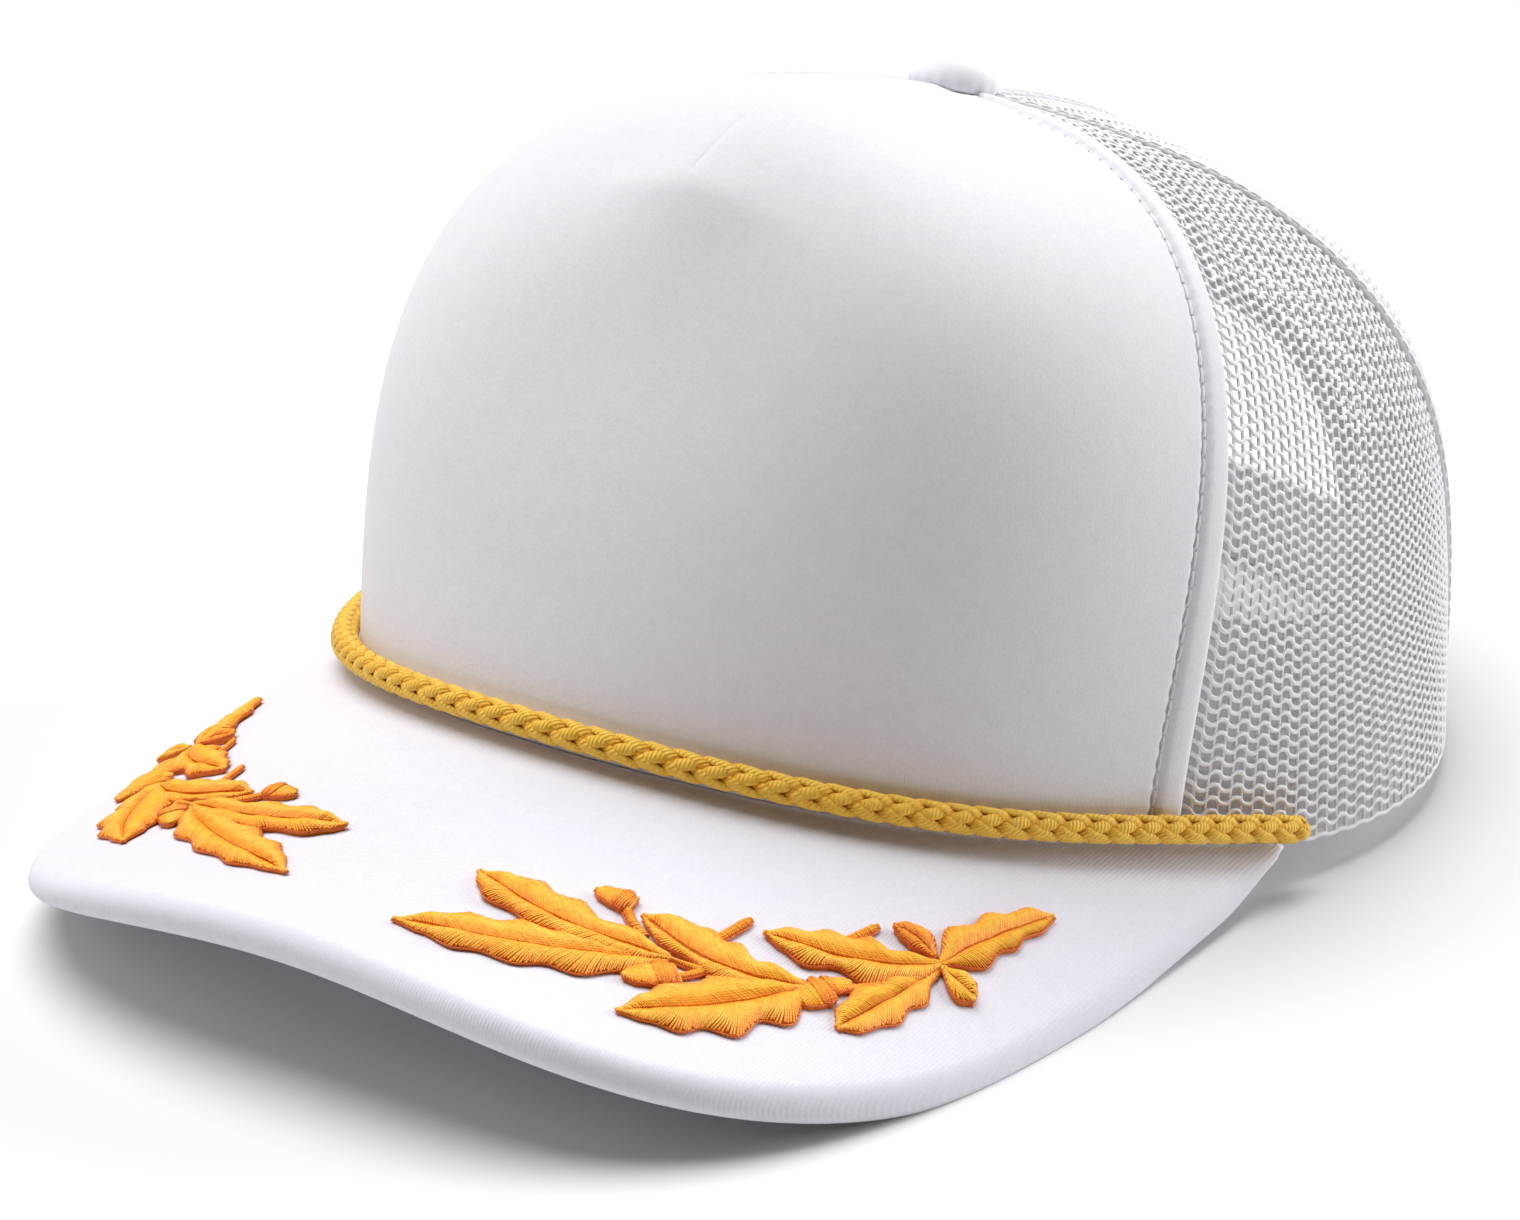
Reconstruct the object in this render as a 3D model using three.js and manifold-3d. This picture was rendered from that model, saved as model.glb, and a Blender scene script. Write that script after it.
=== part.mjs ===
import * as THREE from 'three';
import { mergeVertices } from 'three/addons/utils/BufferGeometryUtils.js';
import Module from 'manifold-3d';

// A five-panel trucker cap: foam front, four net panels, arched visor, rope and oak-leaf embroidery.
// Millimetres. The cap is drawn about its button: +X is the wearer's left, -Y the front, +Z up.
// Angles run round the head from the front (0) over the wearer's left (90) to the back (180).

// Crown sections, alike on both sides. radius: rim to axis; fullness: how square the profile is;
// lean: share by which the wall leans in; dip: how far it sags (or, below zero, rises) by the button.
const CROWN_SECTIONS = [
  { angle: 0, radius: 107.3, fullness: 3.60, lean: 0.19, dip: -0.20 },
  { angle: 30, radius: 99.9, fullness: 3.32, lean: 0.035, dip: -0.117 },
  { angle: 60, radius: 89.5, fullness: 3.06, lean: 0.041, dip: -0.045 },
  { angle: 90, radius: 90.2, fullness: 2.80, lean: 0.143, dip: 0.027 },
  { angle: 120, radius: 89.3, fullness: 3.19, lean: 0.057, dip: 0.168 },
  { angle: 150, radius: 93.3, fullness: 3.38, lean: -0.022, dip: 0.259 },
  { angle: 180, radius: 97.8, fullness: 3.31, lean: -0.018, dip: 0.213 },
];
const CROWN_HEIGHT = 102;
const CROWN_TOP_SHARE = 0.955;
const FRONT_RADIUS = CROWN_SECTIONS[0].radius;

// The dart's peak at the middle of the front panel, and the hollow below it
const PEAK = { share: 0.5, halfAngle: 11, proud: 2.2, halfShare: 0.07 };
const HOLLOW = { share: 0.36, halfAngle: 17, deep: 1.6, halfShare: 0.1 };

// Walls and the clearance between neighbouring pieces
const GAP = 0.3;
const FOAM_WALL = 3;
const NET_WALL = 1.2;

// Seams between panels: their angle at the rim and at the button
const FRONT_SEAM = { rim: 58.3, top: 82.4 };
const SIDE_SEAM = { rim: 124, top: 112 };
const BACK_SEAM = { rim: 180, top: 180 };
const SEAM_WELT = { halfWidth: 1.7, proud: 0.6 };

// Visor: an arched sheet that falls away from the crown and widens past it
const VISOR = {
  rootHeight: 19.5, archRadius: 124.7, archFlattening: 0.229, shoulder: 0.65, shoulderSpan: 80,
  pitch: 0.221, lift: 7.15, liftSpan: 70, reach: 64.8, halfWidth: 83.7, squareness: 3.38,
  flankY: -23.5, endAngle: 69, thickness: 5.7, tuck: 3,
};
const RIM_BLEND = { start: -4, span: 20 };

const ROPE = { diameter: 5, endAngle: 73, height: 3, steps: 48, sides: 8 };
const BUTTON = { radius: 7.6, height: 4.8, flange: 0.9, lean: -11.5, lift: 0.55 };
const SWEATBAND = { height: 35, thickness: 1.5, endAngle: 152, tuckBelow: 4, hem: 0.6 };
const FRONT_DEPTH_END = 70;
const BACK_DEPTH_START = 76;

// Half-moon opening at the back, its folded binding and the strap across it
const OPENING = { halfWidth: 42, height: 52 };
const BINDING = { width: 5, proud: 0.5 };
const STRAP = { height: 18, thickness: 1.6, halfAngle: 27.3 };
const FLOOR_DROP = 0.3;

// Leaves of one spray, in plan on the visor. from: stalk end; to: tip; half: half width;
// bow: how far the midrib bends to the visor's edge; lobes: scallops on each side.
const LEAVES = [
  { fromX: 43.2, fromY: -137.5, toX: 10.4, toY: -158.9, half: 6.0, bow: 3.2, lobes: 4 },
  { fromX: 43.2, fromY: -137.0, toX: 12.0, toY: -140.9, half: 4.4, bow: 2.6, lobes: 4 },
  { fromX: 58.0, fromY: -126.0, toX: 35.4, toY: -133.5, half: 4.6, bow: 1.6, lobes: 3 },
  { fromX: 58.6, fromY: -126.0, toX: 44.7, toY: -152.5, half: 5.0, bow: 3.2, lobes: 3 },
  { fromX: 67.2, fromY: -104.1, toX: 48.7, toY: -121.9, half: 4.5, bow: 2.4, lobes: 3 },
  { fromX: 67.6, fromY: -103.9, toX: 64.7, toY: -126.7, half: 4.0, bow: 1.2, lobes: 3 },
  { fromX: 67.4, fromY: -103.9, toX: 72.4, toY: -79.1, half: 3.4, bow: -0.6, lobes: 3 },
  { fromX: 66.6, fromY: -103.6, toX: 60.2, toY: -104.6, half: 2.2, bow: 0, lobes: 0 },
  { fromX: 67.4, fromY: -104.2, toX: 73.2, toY: -103.4, half: 2.4, bow: 0, lobes: 0 },
];
const ACORNS = [
  { fromX: 41.5, fromY: -137.2, toX: 27.4, toY: -130.6, half: 2.6 },
  { fromX: 46.8, fromY: -136.0, toX: 41.4, toY: -147.0, half: 2.4 },
  { fromX: 62.4, fromY: -119.0, toX: 59.4, toY: -128.4, half: 2.3 },
];
const STEMS = [
  { fromX: 42.5, fromY: -138.2, toX: 58.6, toY: -126.0, half: 1.1 },
  { fromX: 57.8, fromY: -126.9, toX: 67.6, toY: -103.6, half: 1.1 },
  { fromX: 45.2, fromY: -129.6, toX: 46.0, toY: -121.8, half: 0.7 },
  { fromX: 57.6, fromY: -111.6, toX: 58.6, toY: -106.2, half: 0.7 },
];
const EMBROIDERY = { edge: 0.8, crown: 1.5, stagger: 0.07 };

const MATERIALS = {
  foam: { color: 0xf2f0f6, roughness: 0.92 },
  net: { color: 0xeceaee, roughness: 0.7 },
  band: { color: 0xe6e4e8, roughness: 0.9 },
  rope: { color: 0xd9a93a, roughness: 0.6 },
  thread: { color: 0xf2a531, roughness: 0.5 },
  strap: { color: 0xf0f0ee, roughness: 0.45 },
};

const wasm = await Module();
wasm.setup();

const radians = THREE.MathUtils.degToRad;

function smoothStep(value) {
  const t = THREE.MathUtils.clamp(value, 0, 1);
  return t * t * (3 - 2 * t);
}

function mix(a, b, share) {
  return a + (b - a) * share;
}

function bell(value, halfSpan) {
  return Math.exp(-((value / halfSpan) ** 2));
}

// A smooth even curve round the head through one column of the crown table
function aroundCurve(column) {
  const values = CROWN_SECTIONS.map((row) => row[column]);
  const last = values.length - 1;
  const waves = values.map((_, order) => {
    let sum = 0;
    values.forEach((value, index) => {
      const weight = index === 0 || index === last ? 0.5 : 1;
      sum += weight * value * Math.cos((Math.PI * index * order) / last);
    });
    return (sum * (order === 0 || order === last ? 1 : 2)) / last;
  });
  return (angle) => waves.reduce((sum, wave, order) => sum + wave * Math.cos(order * radians(angle)), 0);
}

const crownCurves = {
  radius: aroundCurve('radius'),
  fullness: aroundCurve('fullness'),
  lean: aroundCurve('lean'),
  dip: aroundCurve('dip'),
};

// Height of the visor's top face at a plan point
function visorHeight(x, y) {
  const out = THREE.MathUtils.clamp(-(y + FRONT_RADIUS) / VISOR.liftSpan, -1.2, 2);
  const arch = (x * x) / (2 * VISOR.archRadius) * (1 - VISOR.archFlattening * out);
  const shoulder = VISOR.shoulder * (x / VISOR.shoulderSpan) ** 4;
  const lift = VISOR.lift * Math.max(out, 0) ** 2;
  return VISOR.rootHeight - arch + shoulder + VISOR.pitch * (y + FRONT_RADIUS) + lift;
}

function rimPlan(angle, inset = 0) {
  const radius = crownCurves.radius(angle) - inset;
  return new THREE.Vector2(radius * Math.sin(radians(angle)), -radius * Math.cos(radians(angle)));
}

function rimHeight(angle) {
  const plan = rimPlan(angle);
  const share = smoothStep((Math.abs(angle) - VISOR.endAngle - RIM_BLEND.start) / RIM_BLEND.span);
  return visorHeight(plan.x, plan.y) * (1 - share);
}

// Share 0 at the rim to 1 at the button, spread evenly along the profile
function profileAngle(share) {
  const low = share ** (5 / 3);
  const high = (1 - share) ** (5 / 3);
  return (low / (low + high)) * (Math.PI / 2);
}

function signedAngle(angle) {
  return THREE.MathUtils.euclideanModulo(angle + 180, 360) - 180;
}

function skinPoint(angle, share) {
  const turn = signedAngle(angle);
  const tau = profileAngle(share);
  const power = 2 / crownCurves.fullness(turn);
  const run = Math.cos(tau) ** power;
  const rise = Math.sin(tau) ** power;
  const radius = crownCurves.radius(turn);
  const foot = rimHeight(turn);
  const offPeak = Math.abs(share - PEAK.share);
  const ridge = PEAK.proud * bell(turn, PEAK.halfAngle) * Math.exp(-offPeak / PEAK.halfShare);
  const hollow = HOLLOW.deep * bell(turn, HOLLOW.halfAngle) * bell(share - HOLLOW.share, HOLLOW.halfShare);
  const reach = radius * run * (1 - crownCurves.lean(turn) * rise) + ridge - hollow;
  const sag = crownCurves.dip(turn) * radius * run * rise ** 2;
  const height = foot + (CROWN_HEIGHT - foot) * rise - sag + ridge;
  return new THREE.Vector3(reach * Math.sin(radians(angle)), -reach * Math.cos(radians(angle)), height);
}

// A point at a depth below the crown's outer skin; below zero it stands proud
function crownPoint(angle, share, depth = 0) {
  const point = skinPoint(angle, share);
  const turn = 0.5;
  const climb = 0.004;
  const along = skinPoint(angle + turn, share).sub(skinPoint(angle - turn, share));
  const up = skinPoint(angle, Math.min(share + climb, 1)).sub(skinPoint(angle, Math.max(share - climb, 0)));
  const normal = along.cross(up).normalize();
  return point.addScaledVector(normal, -depth);
}

// The profile share at a height above the rim
function shareAtRise(angle, rise) {
  const goal = skinPoint(angle, 0).z + rise;
  let low = 0;
  let high = 0.5;
  for (let step = 0; step < 30; step += 1) {
    const middle = (low + high) / 2;
    if (skinPoint(angle, middle).z < goal) low = middle;
    else high = middle;
  }
  return (low + high) / 2;
}

// A wall point by its rise above the rim; below the rim the wall goes straight down
function wallPoint(angle, rise, depth) {
  const point = crownPoint(angle, rise > 0 ? shareAtRise(angle, rise) : 0, depth);
  if (rise < 0) point.z += rise;
  return point;
}

function meshGeometry(points, triangles) {
  const geometry = new THREE.BufferGeometry();
  const flat = points.flatMap((p) => [p.x, p.y, p.z]);
  geometry.setAttribute('position', new THREE.Float32BufferAttribute(flat, 3));
  geometry.setIndex(triangles);
  return geometry;
}

function signedVolume(points, triangles) {
  let volume = 0;
  for (let i = 0; i < triangles.length; i += 3) {
    const [a, b, c] = [0, 1, 2].map((k) => points[triangles[i + k]]);
    volume += a.dot(new THREE.Vector3().crossVectors(b, c)) / 6;
  }
  return volume;
}

// A closed solid through equal rings of points. In a ring, point i faces point (last - i),
// so each end is closed by a ladder of quads between the two sides.
function sweptSolid(rings) {
  const size = rings[0].length;
  const points = rings.flat();
  const triangles = [];
  const quad = (a, b, c, d) => triangles.push(a, b, c, a, c, d);
  for (let ring = 0; ring < rings.length - 1; ring += 1) {
    for (let i = 0; i < size; i += 1) {
      const next = (i + 1) % size;
      const here = ring * size;
      quad(here + i, here + next, here + size + next, here + size + i);
    }
  }
  const end = (rings.length - 1) * size;
  for (let i = 0; i < size / 2 - 1; i += 1) {
    quad(i, size - 1 - i, size - 2 - i, i + 1);
    quad(end + i, end + i + 1, end + size - 2 - i, end + size - 1 - i);
  }
  if (signedVolume(points, triangles) < 0) triangles.reverse();
  return meshGeometry(points, triangles);
}

function toManifold(geometry) {
  const bare = geometry.clone();
  bare.deleteAttribute('normal');
  bare.deleteAttribute('uv');
  const merged = mergeVertices(bare, 1e-4);
  return new wasm.Manifold(new wasm.Mesh({
    numProp: 3,
    vertProperties: new Float32Array(merged.attributes.position.array),
    triVerts: new Uint32Array(merged.index.array),
  }));
}

function fromManifold(solid) {
  const mesh = solid.getMesh();
  const geometry = new THREE.BufferGeometry();
  geometry.setAttribute('position', new THREE.Float32BufferAttribute(mesh.vertProperties, 3));
  geometry.setIndex(Array.from(mesh.triVerts));
  return geometry;
}

function steps(count) {
  return Array.from({ length: count + 1 }, (_, index) => index / count);
}

function piece(name, geometry, finish) {
  const material = new THREE.MeshStandardMaterial({ ...MATERIALS[finish], metalness: 0 });
  const mesh = new THREE.Mesh(geometry, material);
  mesh.name = name;
  return mesh;
}

// The angle of a seam at a profile share, moved sideways by an offset in millimetres
function seamAngle(seam, share, offset) {
  const climb = Math.min(profileAngle(share) / (Math.PI / 2), 1);
  const angle = mix(seam.rim, seam.top, climb);
  const point = skinPoint(angle, share);
  return angle + THREE.MathUtils.radToDeg(offset / Math.hypot(point.x, point.y));
}

// One panel of the crown between two edges, each an angle that depends on the profile share
function panelSolid(startEdge, endEdge, wall, columns, rows) {
  const shares = steps(rows).map((t) => t * CROWN_TOP_SHARE);
  const rings = steps(columns).map((t) => {
    const at = (share, depth) => crownPoint(mix(startEdge(share), endEdge(share), t), share, depth);
    const outer = shares.map((share) => at(share, 0));
    const inner = shares.map((share) => at(share, wall)).reverse();
    return [...outer, ...inner];
  });
  return sweptSolid(rings);
}

function crownFront() {
  const edge = (share) => seamAngle(FRONT_SEAM, share, -GAP / 2);
  return piece('crown_front', panelSolid((s) => -edge(s), edge, FOAM_WALL, 30, 15), 'foam');
}

// The four net panels on the wearer's left (side 1) and right (side -1)
function netPanels() {
  const clear = SEAM_WELT.halfWidth + GAP;
  const sideStart = (share) => seamAngle(FRONT_SEAM, share, GAP / 2);
  const sideEnd = (share) => seamAngle(SIDE_SEAM, share, -clear);
  const backStart = (share) => seamAngle(SIDE_SEAM, share, clear);
  const backEnd = (share) => seamAngle(BACK_SEAM, share, -clear);
  const cutter = toManifold(openingCutter());
  return [['left', 1], ['right', -1]].flatMap(([side, sign]) => {
    const mirrored = (edge) => (share) => sign * edge(share);
    const sidePanel = panelSolid(mirrored(sideStart), mirrored(sideEnd), NET_WALL, 10, 13);
    const backPanel = panelSolid(mirrored(backStart), mirrored(backEnd), NET_WALL, 10, 13);
    const openPanel = fromManifold(toManifold(backPanel).subtract(cutter));
    return [
      piece(`mesh_side_${side}`, sidePanel, 'net'),
      piece(`mesh_back_${side}`, openPanel, 'net'),
    ];
  });
}

// Folded welts along the seams between net panels
function seamWelt(name, seam, sign, firstShare) {
  const shares = steps(13).map((t) => mix(firstShare, CROWN_TOP_SHARE, t));
  const half = SEAM_WELT.halfWidth;
  const rings = shares.map((share) => {
    const at = (offset, depth) => crownPoint(sign * seamAngle(seam, share, offset), share, depth);
    return [
      at(-half, 0), at(-half / 2, -SEAM_WELT.proud), at(half / 2, -SEAM_WELT.proud),
      at(half, 0), at(half, NET_WALL), at(-half, NET_WALL),
    ];
  });
  return piece(name, sweptSolid(rings), 'net');
}

// The half-moon cut through the back, in front view a half ellipse on straight legs
function openingCutter() {
  const shape = new THREE.Shape();
  const legs = 12;
  const halfWidth = OPENING.halfWidth + GAP;
  shape.moveTo(-halfWidth, -legs);
  shape.lineTo(-halfWidth, 0);
  shape.absellipse(0, 0, halfWidth, OPENING.height + GAP, Math.PI, 0, true);
  shape.lineTo(halfWidth, -legs);
  const depth = 80;
  const geometry = new THREE.ExtrudeGeometry(shape, { depth, bevelEnabled: false, curveSegments: 20 });
  geometry.rotateX(Math.PI / 2);
  geometry.translate(0, depth + 50, 0);
  return geometry;
}

// The crown's skin at the back, found from a plan x and a height
function backPoint(x, z, depth) {
  let angle = 180;
  let share = 0;
  for (let step = 0; step < 8; step += 1) {
    share = z > 0 ? shareAtRise(angle, z) : 0;
    const skin = skinPoint(angle, share);
    angle = 180 - THREE.MathUtils.radToDeg(Math.asin(x / Math.hypot(skin.x, skin.y)));
  }
  return crownPoint(angle, share, depth);
}

function backBinding() {
  const inner = { x: OPENING.halfWidth - BINDING.width, z: OPENING.height - BINDING.width };
  const rings = steps(24).map((t) => {
    const turn = Math.PI * t;
    const at = (share, depth) => backPoint(
      mix(inner.x, OPENING.halfWidth, share) * Math.cos(turn),
      mix(inner.z, OPENING.height, share) * Math.sin(turn),
      depth,
    );
    return [at(0, -BINDING.proud), at(1, -BINDING.proud), at(1, NET_WALL), at(0, NET_WALL)];
  });
  return piece('back_binding', sweptSolid(rings), 'band');
}

// Depth of the sweatband below the skin: under the foam in front, under the net behind
function liningDepth(angle) {
  const share = smoothStep((Math.abs(angle) - FRONT_DEPTH_END) / (BACK_DEPTH_START - FRONT_DEPTH_END));
  return mix(FOAM_WALL, NET_WALL, share) + GAP;
}

function sweatband() {
  const rings = steps(50).map((t) => {
    const angle = mix(-SWEATBAND.endAngle, SWEATBAND.endAngle, t);
    const overVisor = 1 - smoothStep((Math.abs(angle) - VISOR.endAngle) / RIM_BLEND.span);
    const bottom = mix(SWEATBAND.hem, -SWEATBAND.tuckBelow, overVisor);
    const rises = steps(2).map((s) => mix(bottom, SWEATBAND.height, s));
    const depth = liningDepth(angle);
    const outer = rises.map((rise) => wallPoint(angle, rise, depth));
    const inner = rises.map((rise) => wallPoint(angle, rise, depth + SWEATBAND.thickness)).reverse();
    return [...outer, ...inner];
  });
  return piece('sweatband', sweptSolid(rings), 'band');
}

// The visor's plan outline from one end of the rim to the other: a squared ellipse
function visorOutline() {
  const end = rimPlan(VISOR.endAngle);
  const length = FRONT_RADIUS + VISOR.reach + VISOR.flankY;
  const power = 2 / VISOR.squareness;
  const first = Math.asin(((VISOR.flankY - end.y) / length) ** (1 / power));
  const quarter = steps(60).map((t) => {
    const turn = mix(first, Math.PI / 2, t);
    return new THREE.Vector2(
      VISOR.halfWidth * Math.cos(turn) ** power,
      VISOR.flankY - length * Math.sin(turn) ** power,
    );
  });
  const left = [end, ...quarter.slice(1)];
  const right = left.slice(0, -1).reverse().map((p) => new THREE.Vector2(-p.x, p.y));
  return [...left, ...right];
}

// Points spaced evenly along a polyline
function evenlyAlong(line, count) {
  const reach = [0];
  for (let i = 1; i < line.length; i += 1) reach.push(reach[i - 1] + line[i].distanceTo(line[i - 1]));
  const total = reach[reach.length - 1];
  return steps(count).map((t) => {
    const goal = t * total;
    const next = Math.max(1, reach.findIndex((r) => r >= goal - 1e-9));
    const share = (goal - reach[next - 1]) / (reach[next] - reach[next - 1]);
    return line[next - 1].clone().lerp(line[next], share);
  });
}

// Height of the visor's upper side: the sheet outside the crown, and its tuck under the crown's wall
function visorTop(plan) {
  const angle = THREE.MathUtils.radToDeg(Math.atan2(plan.x, -plan.y));
  const depth = crownCurves.radius(angle) - plan.length();
  const height = depth > 0 ? crownPoint(angle, 0, depth).z : visorHeight(plan.x, plan.y);
  return height - GAP;
}

function visor() {
  const half = VISOR.thickness / 2;
  const roundings = [45, 15, -15, -45];
  const rings = evenlyAlong(visorOutline(), 38).map((edge) => {
    const angle = THREE.MathUtils.radToDeg(Math.atan2(edge.x, -edge.y));
    const root = rimPlan(angle, VISOR.tuck);
    const out = edge.clone().sub(root);
    const width = out.length();
    const bulge = Math.min(half, width * 0.4);
    out.normalize();
    const place = (reach, down) => {
      const plan = root.clone().addScaledVector(out, reach);
      return new THREE.Vector3(plan.x, plan.y, visorTop(plan) - down);
    };
    const flat = width - bulge;
    const tuck = Math.min(VISOR.tuck, flat / 2);
    const reaches = [0, ...steps(4).map((t) => mix(tuck, flat, t))];
    const top = reaches.map((reach) => place(reach, 0));
    const rounded = roundings.map((turn) => place(
      flat + bulge * Math.cos(radians(turn)),
      half - half * Math.sin(radians(turn)),
    ));
    const bottom = reaches.map((reach) => place(reach, VISOR.thickness)).reverse();
    return [...top, ...rounded, ...bottom];
  });
  return piece('visor', sweptSolid(rings), 'foam');
}

// The rope lies in the corner of crown and visor and is sewn down all the way
function rope() {
  const radius = ROPE.diameter / 2;
  const centre = (angle) => {
    const share = shareAtRise(angle, ROPE.height);
    return crownPoint(angle, share, -radius - GAP);
  };
  const angles = steps(ROPE.steps).map((t) => mix(-ROPE.endAngle, ROPE.endAngle, t));
  const rings = angles.map((angle, index) => {
    const along = centre(angle + 1).sub(centre(angle - 1)).normalize();
    const side = new THREE.Vector3().crossVectors(along, new THREE.Vector3(0, 0, 1)).normalize();
    const up = new THREE.Vector3().crossVectors(side, along);
    const atEnd = index === 0 || index === ROPE.steps;
    const girth = atEnd ? radius * 0.6 : radius;
    return Array.from({ length: ROPE.sides }, (_, k) => {
      const turn = (2 * Math.PI * (k + 0.5)) / ROPE.sides;
      return centre(angle)
        .addScaledVector(side, girth * Math.cos(turn))
        .addScaledVector(up, girth * Math.sin(turn));
    });
  });
  return piece('rope_band', sweptSolid(rings), 'rope');
}

// A covered button on the crown's crossing seams, square to the slope there
function topButton() {
  const dome = steps(5).map((t) => {
    const turn = (Math.PI / 2) * t;
    return new THREE.Vector2(
      t === 1 ? 0 : BUTTON.radius * Math.cos(turn) ** 0.8,
      BUTTON.flange + (BUTTON.height - BUTTON.flange) * Math.sin(turn),
    );
  });
  const profile = [new THREE.Vector2(0, 0), new THREE.Vector2(BUTTON.radius - 0.8, 0), ...dome];
  const mesh = piece('top_button', new THREE.LatheGeometry(profile, 18), 'foam');
  mesh.geometry.rotateX(Math.PI / 2);
  mesh.rotation.x = radians(BUTTON.lean);
  mesh.position.z = CROWN_HEIGHT + BUTTON.lift;
  return mesh;
}

// The plane that the cap rests on, through the back rim and the visor's lowest point
function restingPlane(visorMesh) {
  const back = new THREE.Vector2(crownCurves.radius(180), -FLOOR_DROP);
  const position = visorMesh.geometry.attributes.position;
  let tilt = 0;
  for (let i = 0; i < position.count; i += 1) {
    tilt = Math.max(tilt, Math.atan2(back.y - position.getZ(i), back.x - position.getY(i)));
  }
  return { tilt, heightAt: (y) => back.y - (back.x - y) * Math.tan(tilt) };
}

// One plain strap across the opening, its lower edge flat on the resting plane
function snapStrap(plane) {
  const depth = NET_WALL + GAP;
  const rings = steps(16).map((t) => {
    const angle = mix(180 - STRAP.halfAngle, 180 + STRAP.halfAngle, t);
    const foot = (inset) => {
      const plan = rimPlan(signedAngle(angle), inset);
      return new THREE.Vector3(plan.x, plan.y, plane.heightAt(plan.y));
    };
    const outer = foot(depth);
    const inner = foot(depth + STRAP.thickness);
    const top = new THREE.Vector3(0, 0, STRAP.height);
    return [outer, outer.clone().add(top), inner.clone().add(top), inner];
  });
  return piece('snap_strap', sweptSolid(rings), 'strap');
}

// A raised, crowned shape along a bowed midrib on the visor. halfAt gives its half width at a share.
function reliefSolid(row, { halfAt, stations }, sign, base) {
  const from = new THREE.Vector2(row.fromX, row.fromY);
  const to = new THREE.Vector2(row.toX, row.toY);
  const along = to.clone().sub(from).normalize();
  const across = new THREE.Vector2(-along.y, along.x);
  const towardsEdge = across.dot(new THREE.Vector2(from.x, from.y + 60)) > 0 ? 1 : -1;
  const place = (share, offset, rise) => {
    const bow = towardsEdge * (row.bow ?? 0) * 4 * share * (1 - share);
    const plan = from.clone().lerp(to, share).addScaledVector(across, bow + offset);
    return new THREE.Vector3(sign * plan.x, plan.y, visorHeight(plan.x, plan.y) + rise);
  };
  const rings = steps(stations).map((share) => {
    const half = halfAt(share);
    return [
      place(share, -half, base), place(share, -half, base + EMBROIDERY.edge),
      place(share, 0, base + EMBROIDERY.crown),
      place(share, half, base + EMBROIDERY.edge), place(share, half, base),
    ];
  });
  return sweptReliefRings(rings);
}

// Rings whose ends are closed by a fan about their first point
function sweptReliefRings(rings) {
  const size = rings[0].length;
  const points = rings.flat();
  const triangles = [];
  for (let ring = 0; ring < rings.length - 1; ring += 1) {
    for (let i = 0; i < size; i += 1) {
      const here = ring * size + i;
      const next = ring * size + ((i + 1) % size);
      triangles.push(here, next, next + size, here, next + size, here + size);
    }
  }
  const end = (rings.length - 1) * size;
  for (let i = 1; i < size - 1; i += 1) {
    triangles.push(0, i + 1, i);
    triangles.push(end, end + i, end + i + 1);
  }
  if (signedVolume(points, triangles) < 0) triangles.reverse();
  return meshGeometry(points, triangles);
}

// An oak leaf: widest past its middle, its edge scalloped with one lobe for every two stations
function leafForm(row) {
  const halfAt = (share) => {
    const belly = Math.sin(Math.PI * (0.04 + 0.93 * share) ** 0.9) ** 0.8;
    const scallop = row.lobes > 0 ? 1 - 0.17 * Math.cos(2 * Math.PI * row.lobes * share) : 1;
    return Math.max(row.half * belly * scallop * 0.92, 0.5);
  };
  return { halfAt, stations: Math.max(2 * row.lobes, 5) };
}

// A thin stalk that ends in a round nut
function acornForm(row) {
  const halfAt = (share) => {
    const nut = Math.max(0, 1 - ((share - 0.76) / 0.25) ** 2);
    return Math.max(row.half * Math.sqrt(nut), 0.7);
  };
  return { halfAt, stations: 8 };
}

function stemForm(row) {
  return { halfAt: () => row.half, stations: 3 };
}

function spray(name, sign) {
  const shapes = [
    ...STEMS.map((row) => [row, stemForm(row)]),
    ...LEAVES.map((row) => [row, leafForm(row)]),
    ...ACORNS.map((row) => [row, acornForm(row)]),
  ];
  const solids = shapes.map(([row, form], index) => {
    const base = GAP + EMBROIDERY.stagger * (index % 4);
    return toManifold(reliefSolid(row, form, sign, base));
  });
  const fused = solids.reduce((whole, solid) => whole.add(solid));
  return piece(name, fromManifold(fused), 'thread');
}

// The whole cap, stood on its resting plane with the middle of its footprint at the origin
function trucker() {
  const visorMesh = visor();
  const plane = restingPlane(visorMesh);
  const tilted = new THREE.Group();
  tilted.rotation.x = -plane.tilt;
  tilted.add(
    crownFront(),
    ...netPanels(),
    seamWelt('seam_welt_left', SIDE_SEAM, 1, 0),
    seamWelt('seam_welt_right', SIDE_SEAM, -1, 0),
    seamWelt('seam_welt_back', BACK_SEAM, 1, shareAtRise(180, OPENING.height + GAP)),
    topButton(),
    visorMesh,
    rope(),
    sweatband(),
    backBinding(),
    snapStrap(plane),
    spray('embroidery_left', 1),
    spray('embroidery_right', -1),
  );
  const cap = new THREE.Group();
  cap.add(tilted);
  const bounds = new THREE.Box3().setFromObject(cap, true);
  const middle = bounds.getCenter(new THREE.Vector3());
  cap.position.set(0, -middle.y, -bounds.min.z);
  return cap;
}

export default trucker();
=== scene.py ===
"""A white trucker cap: foam front, net back, arched visor, gold rope and oak-leaf embroidery.

The cap is drawn in millimetres about its button, front towards -Y, and then placed in the row frame
in metres. Angles run round the head from the front (0) over the wearer's left (90) to the back (180).
A share runs up the crown from its rim (0) to its button (1).
"""

import logging
import math
from dataclasses import dataclass, field
from enum import Enum

import bmesh
import bpy
import numpy as np
from mathutils import Matrix, Vector


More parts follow.
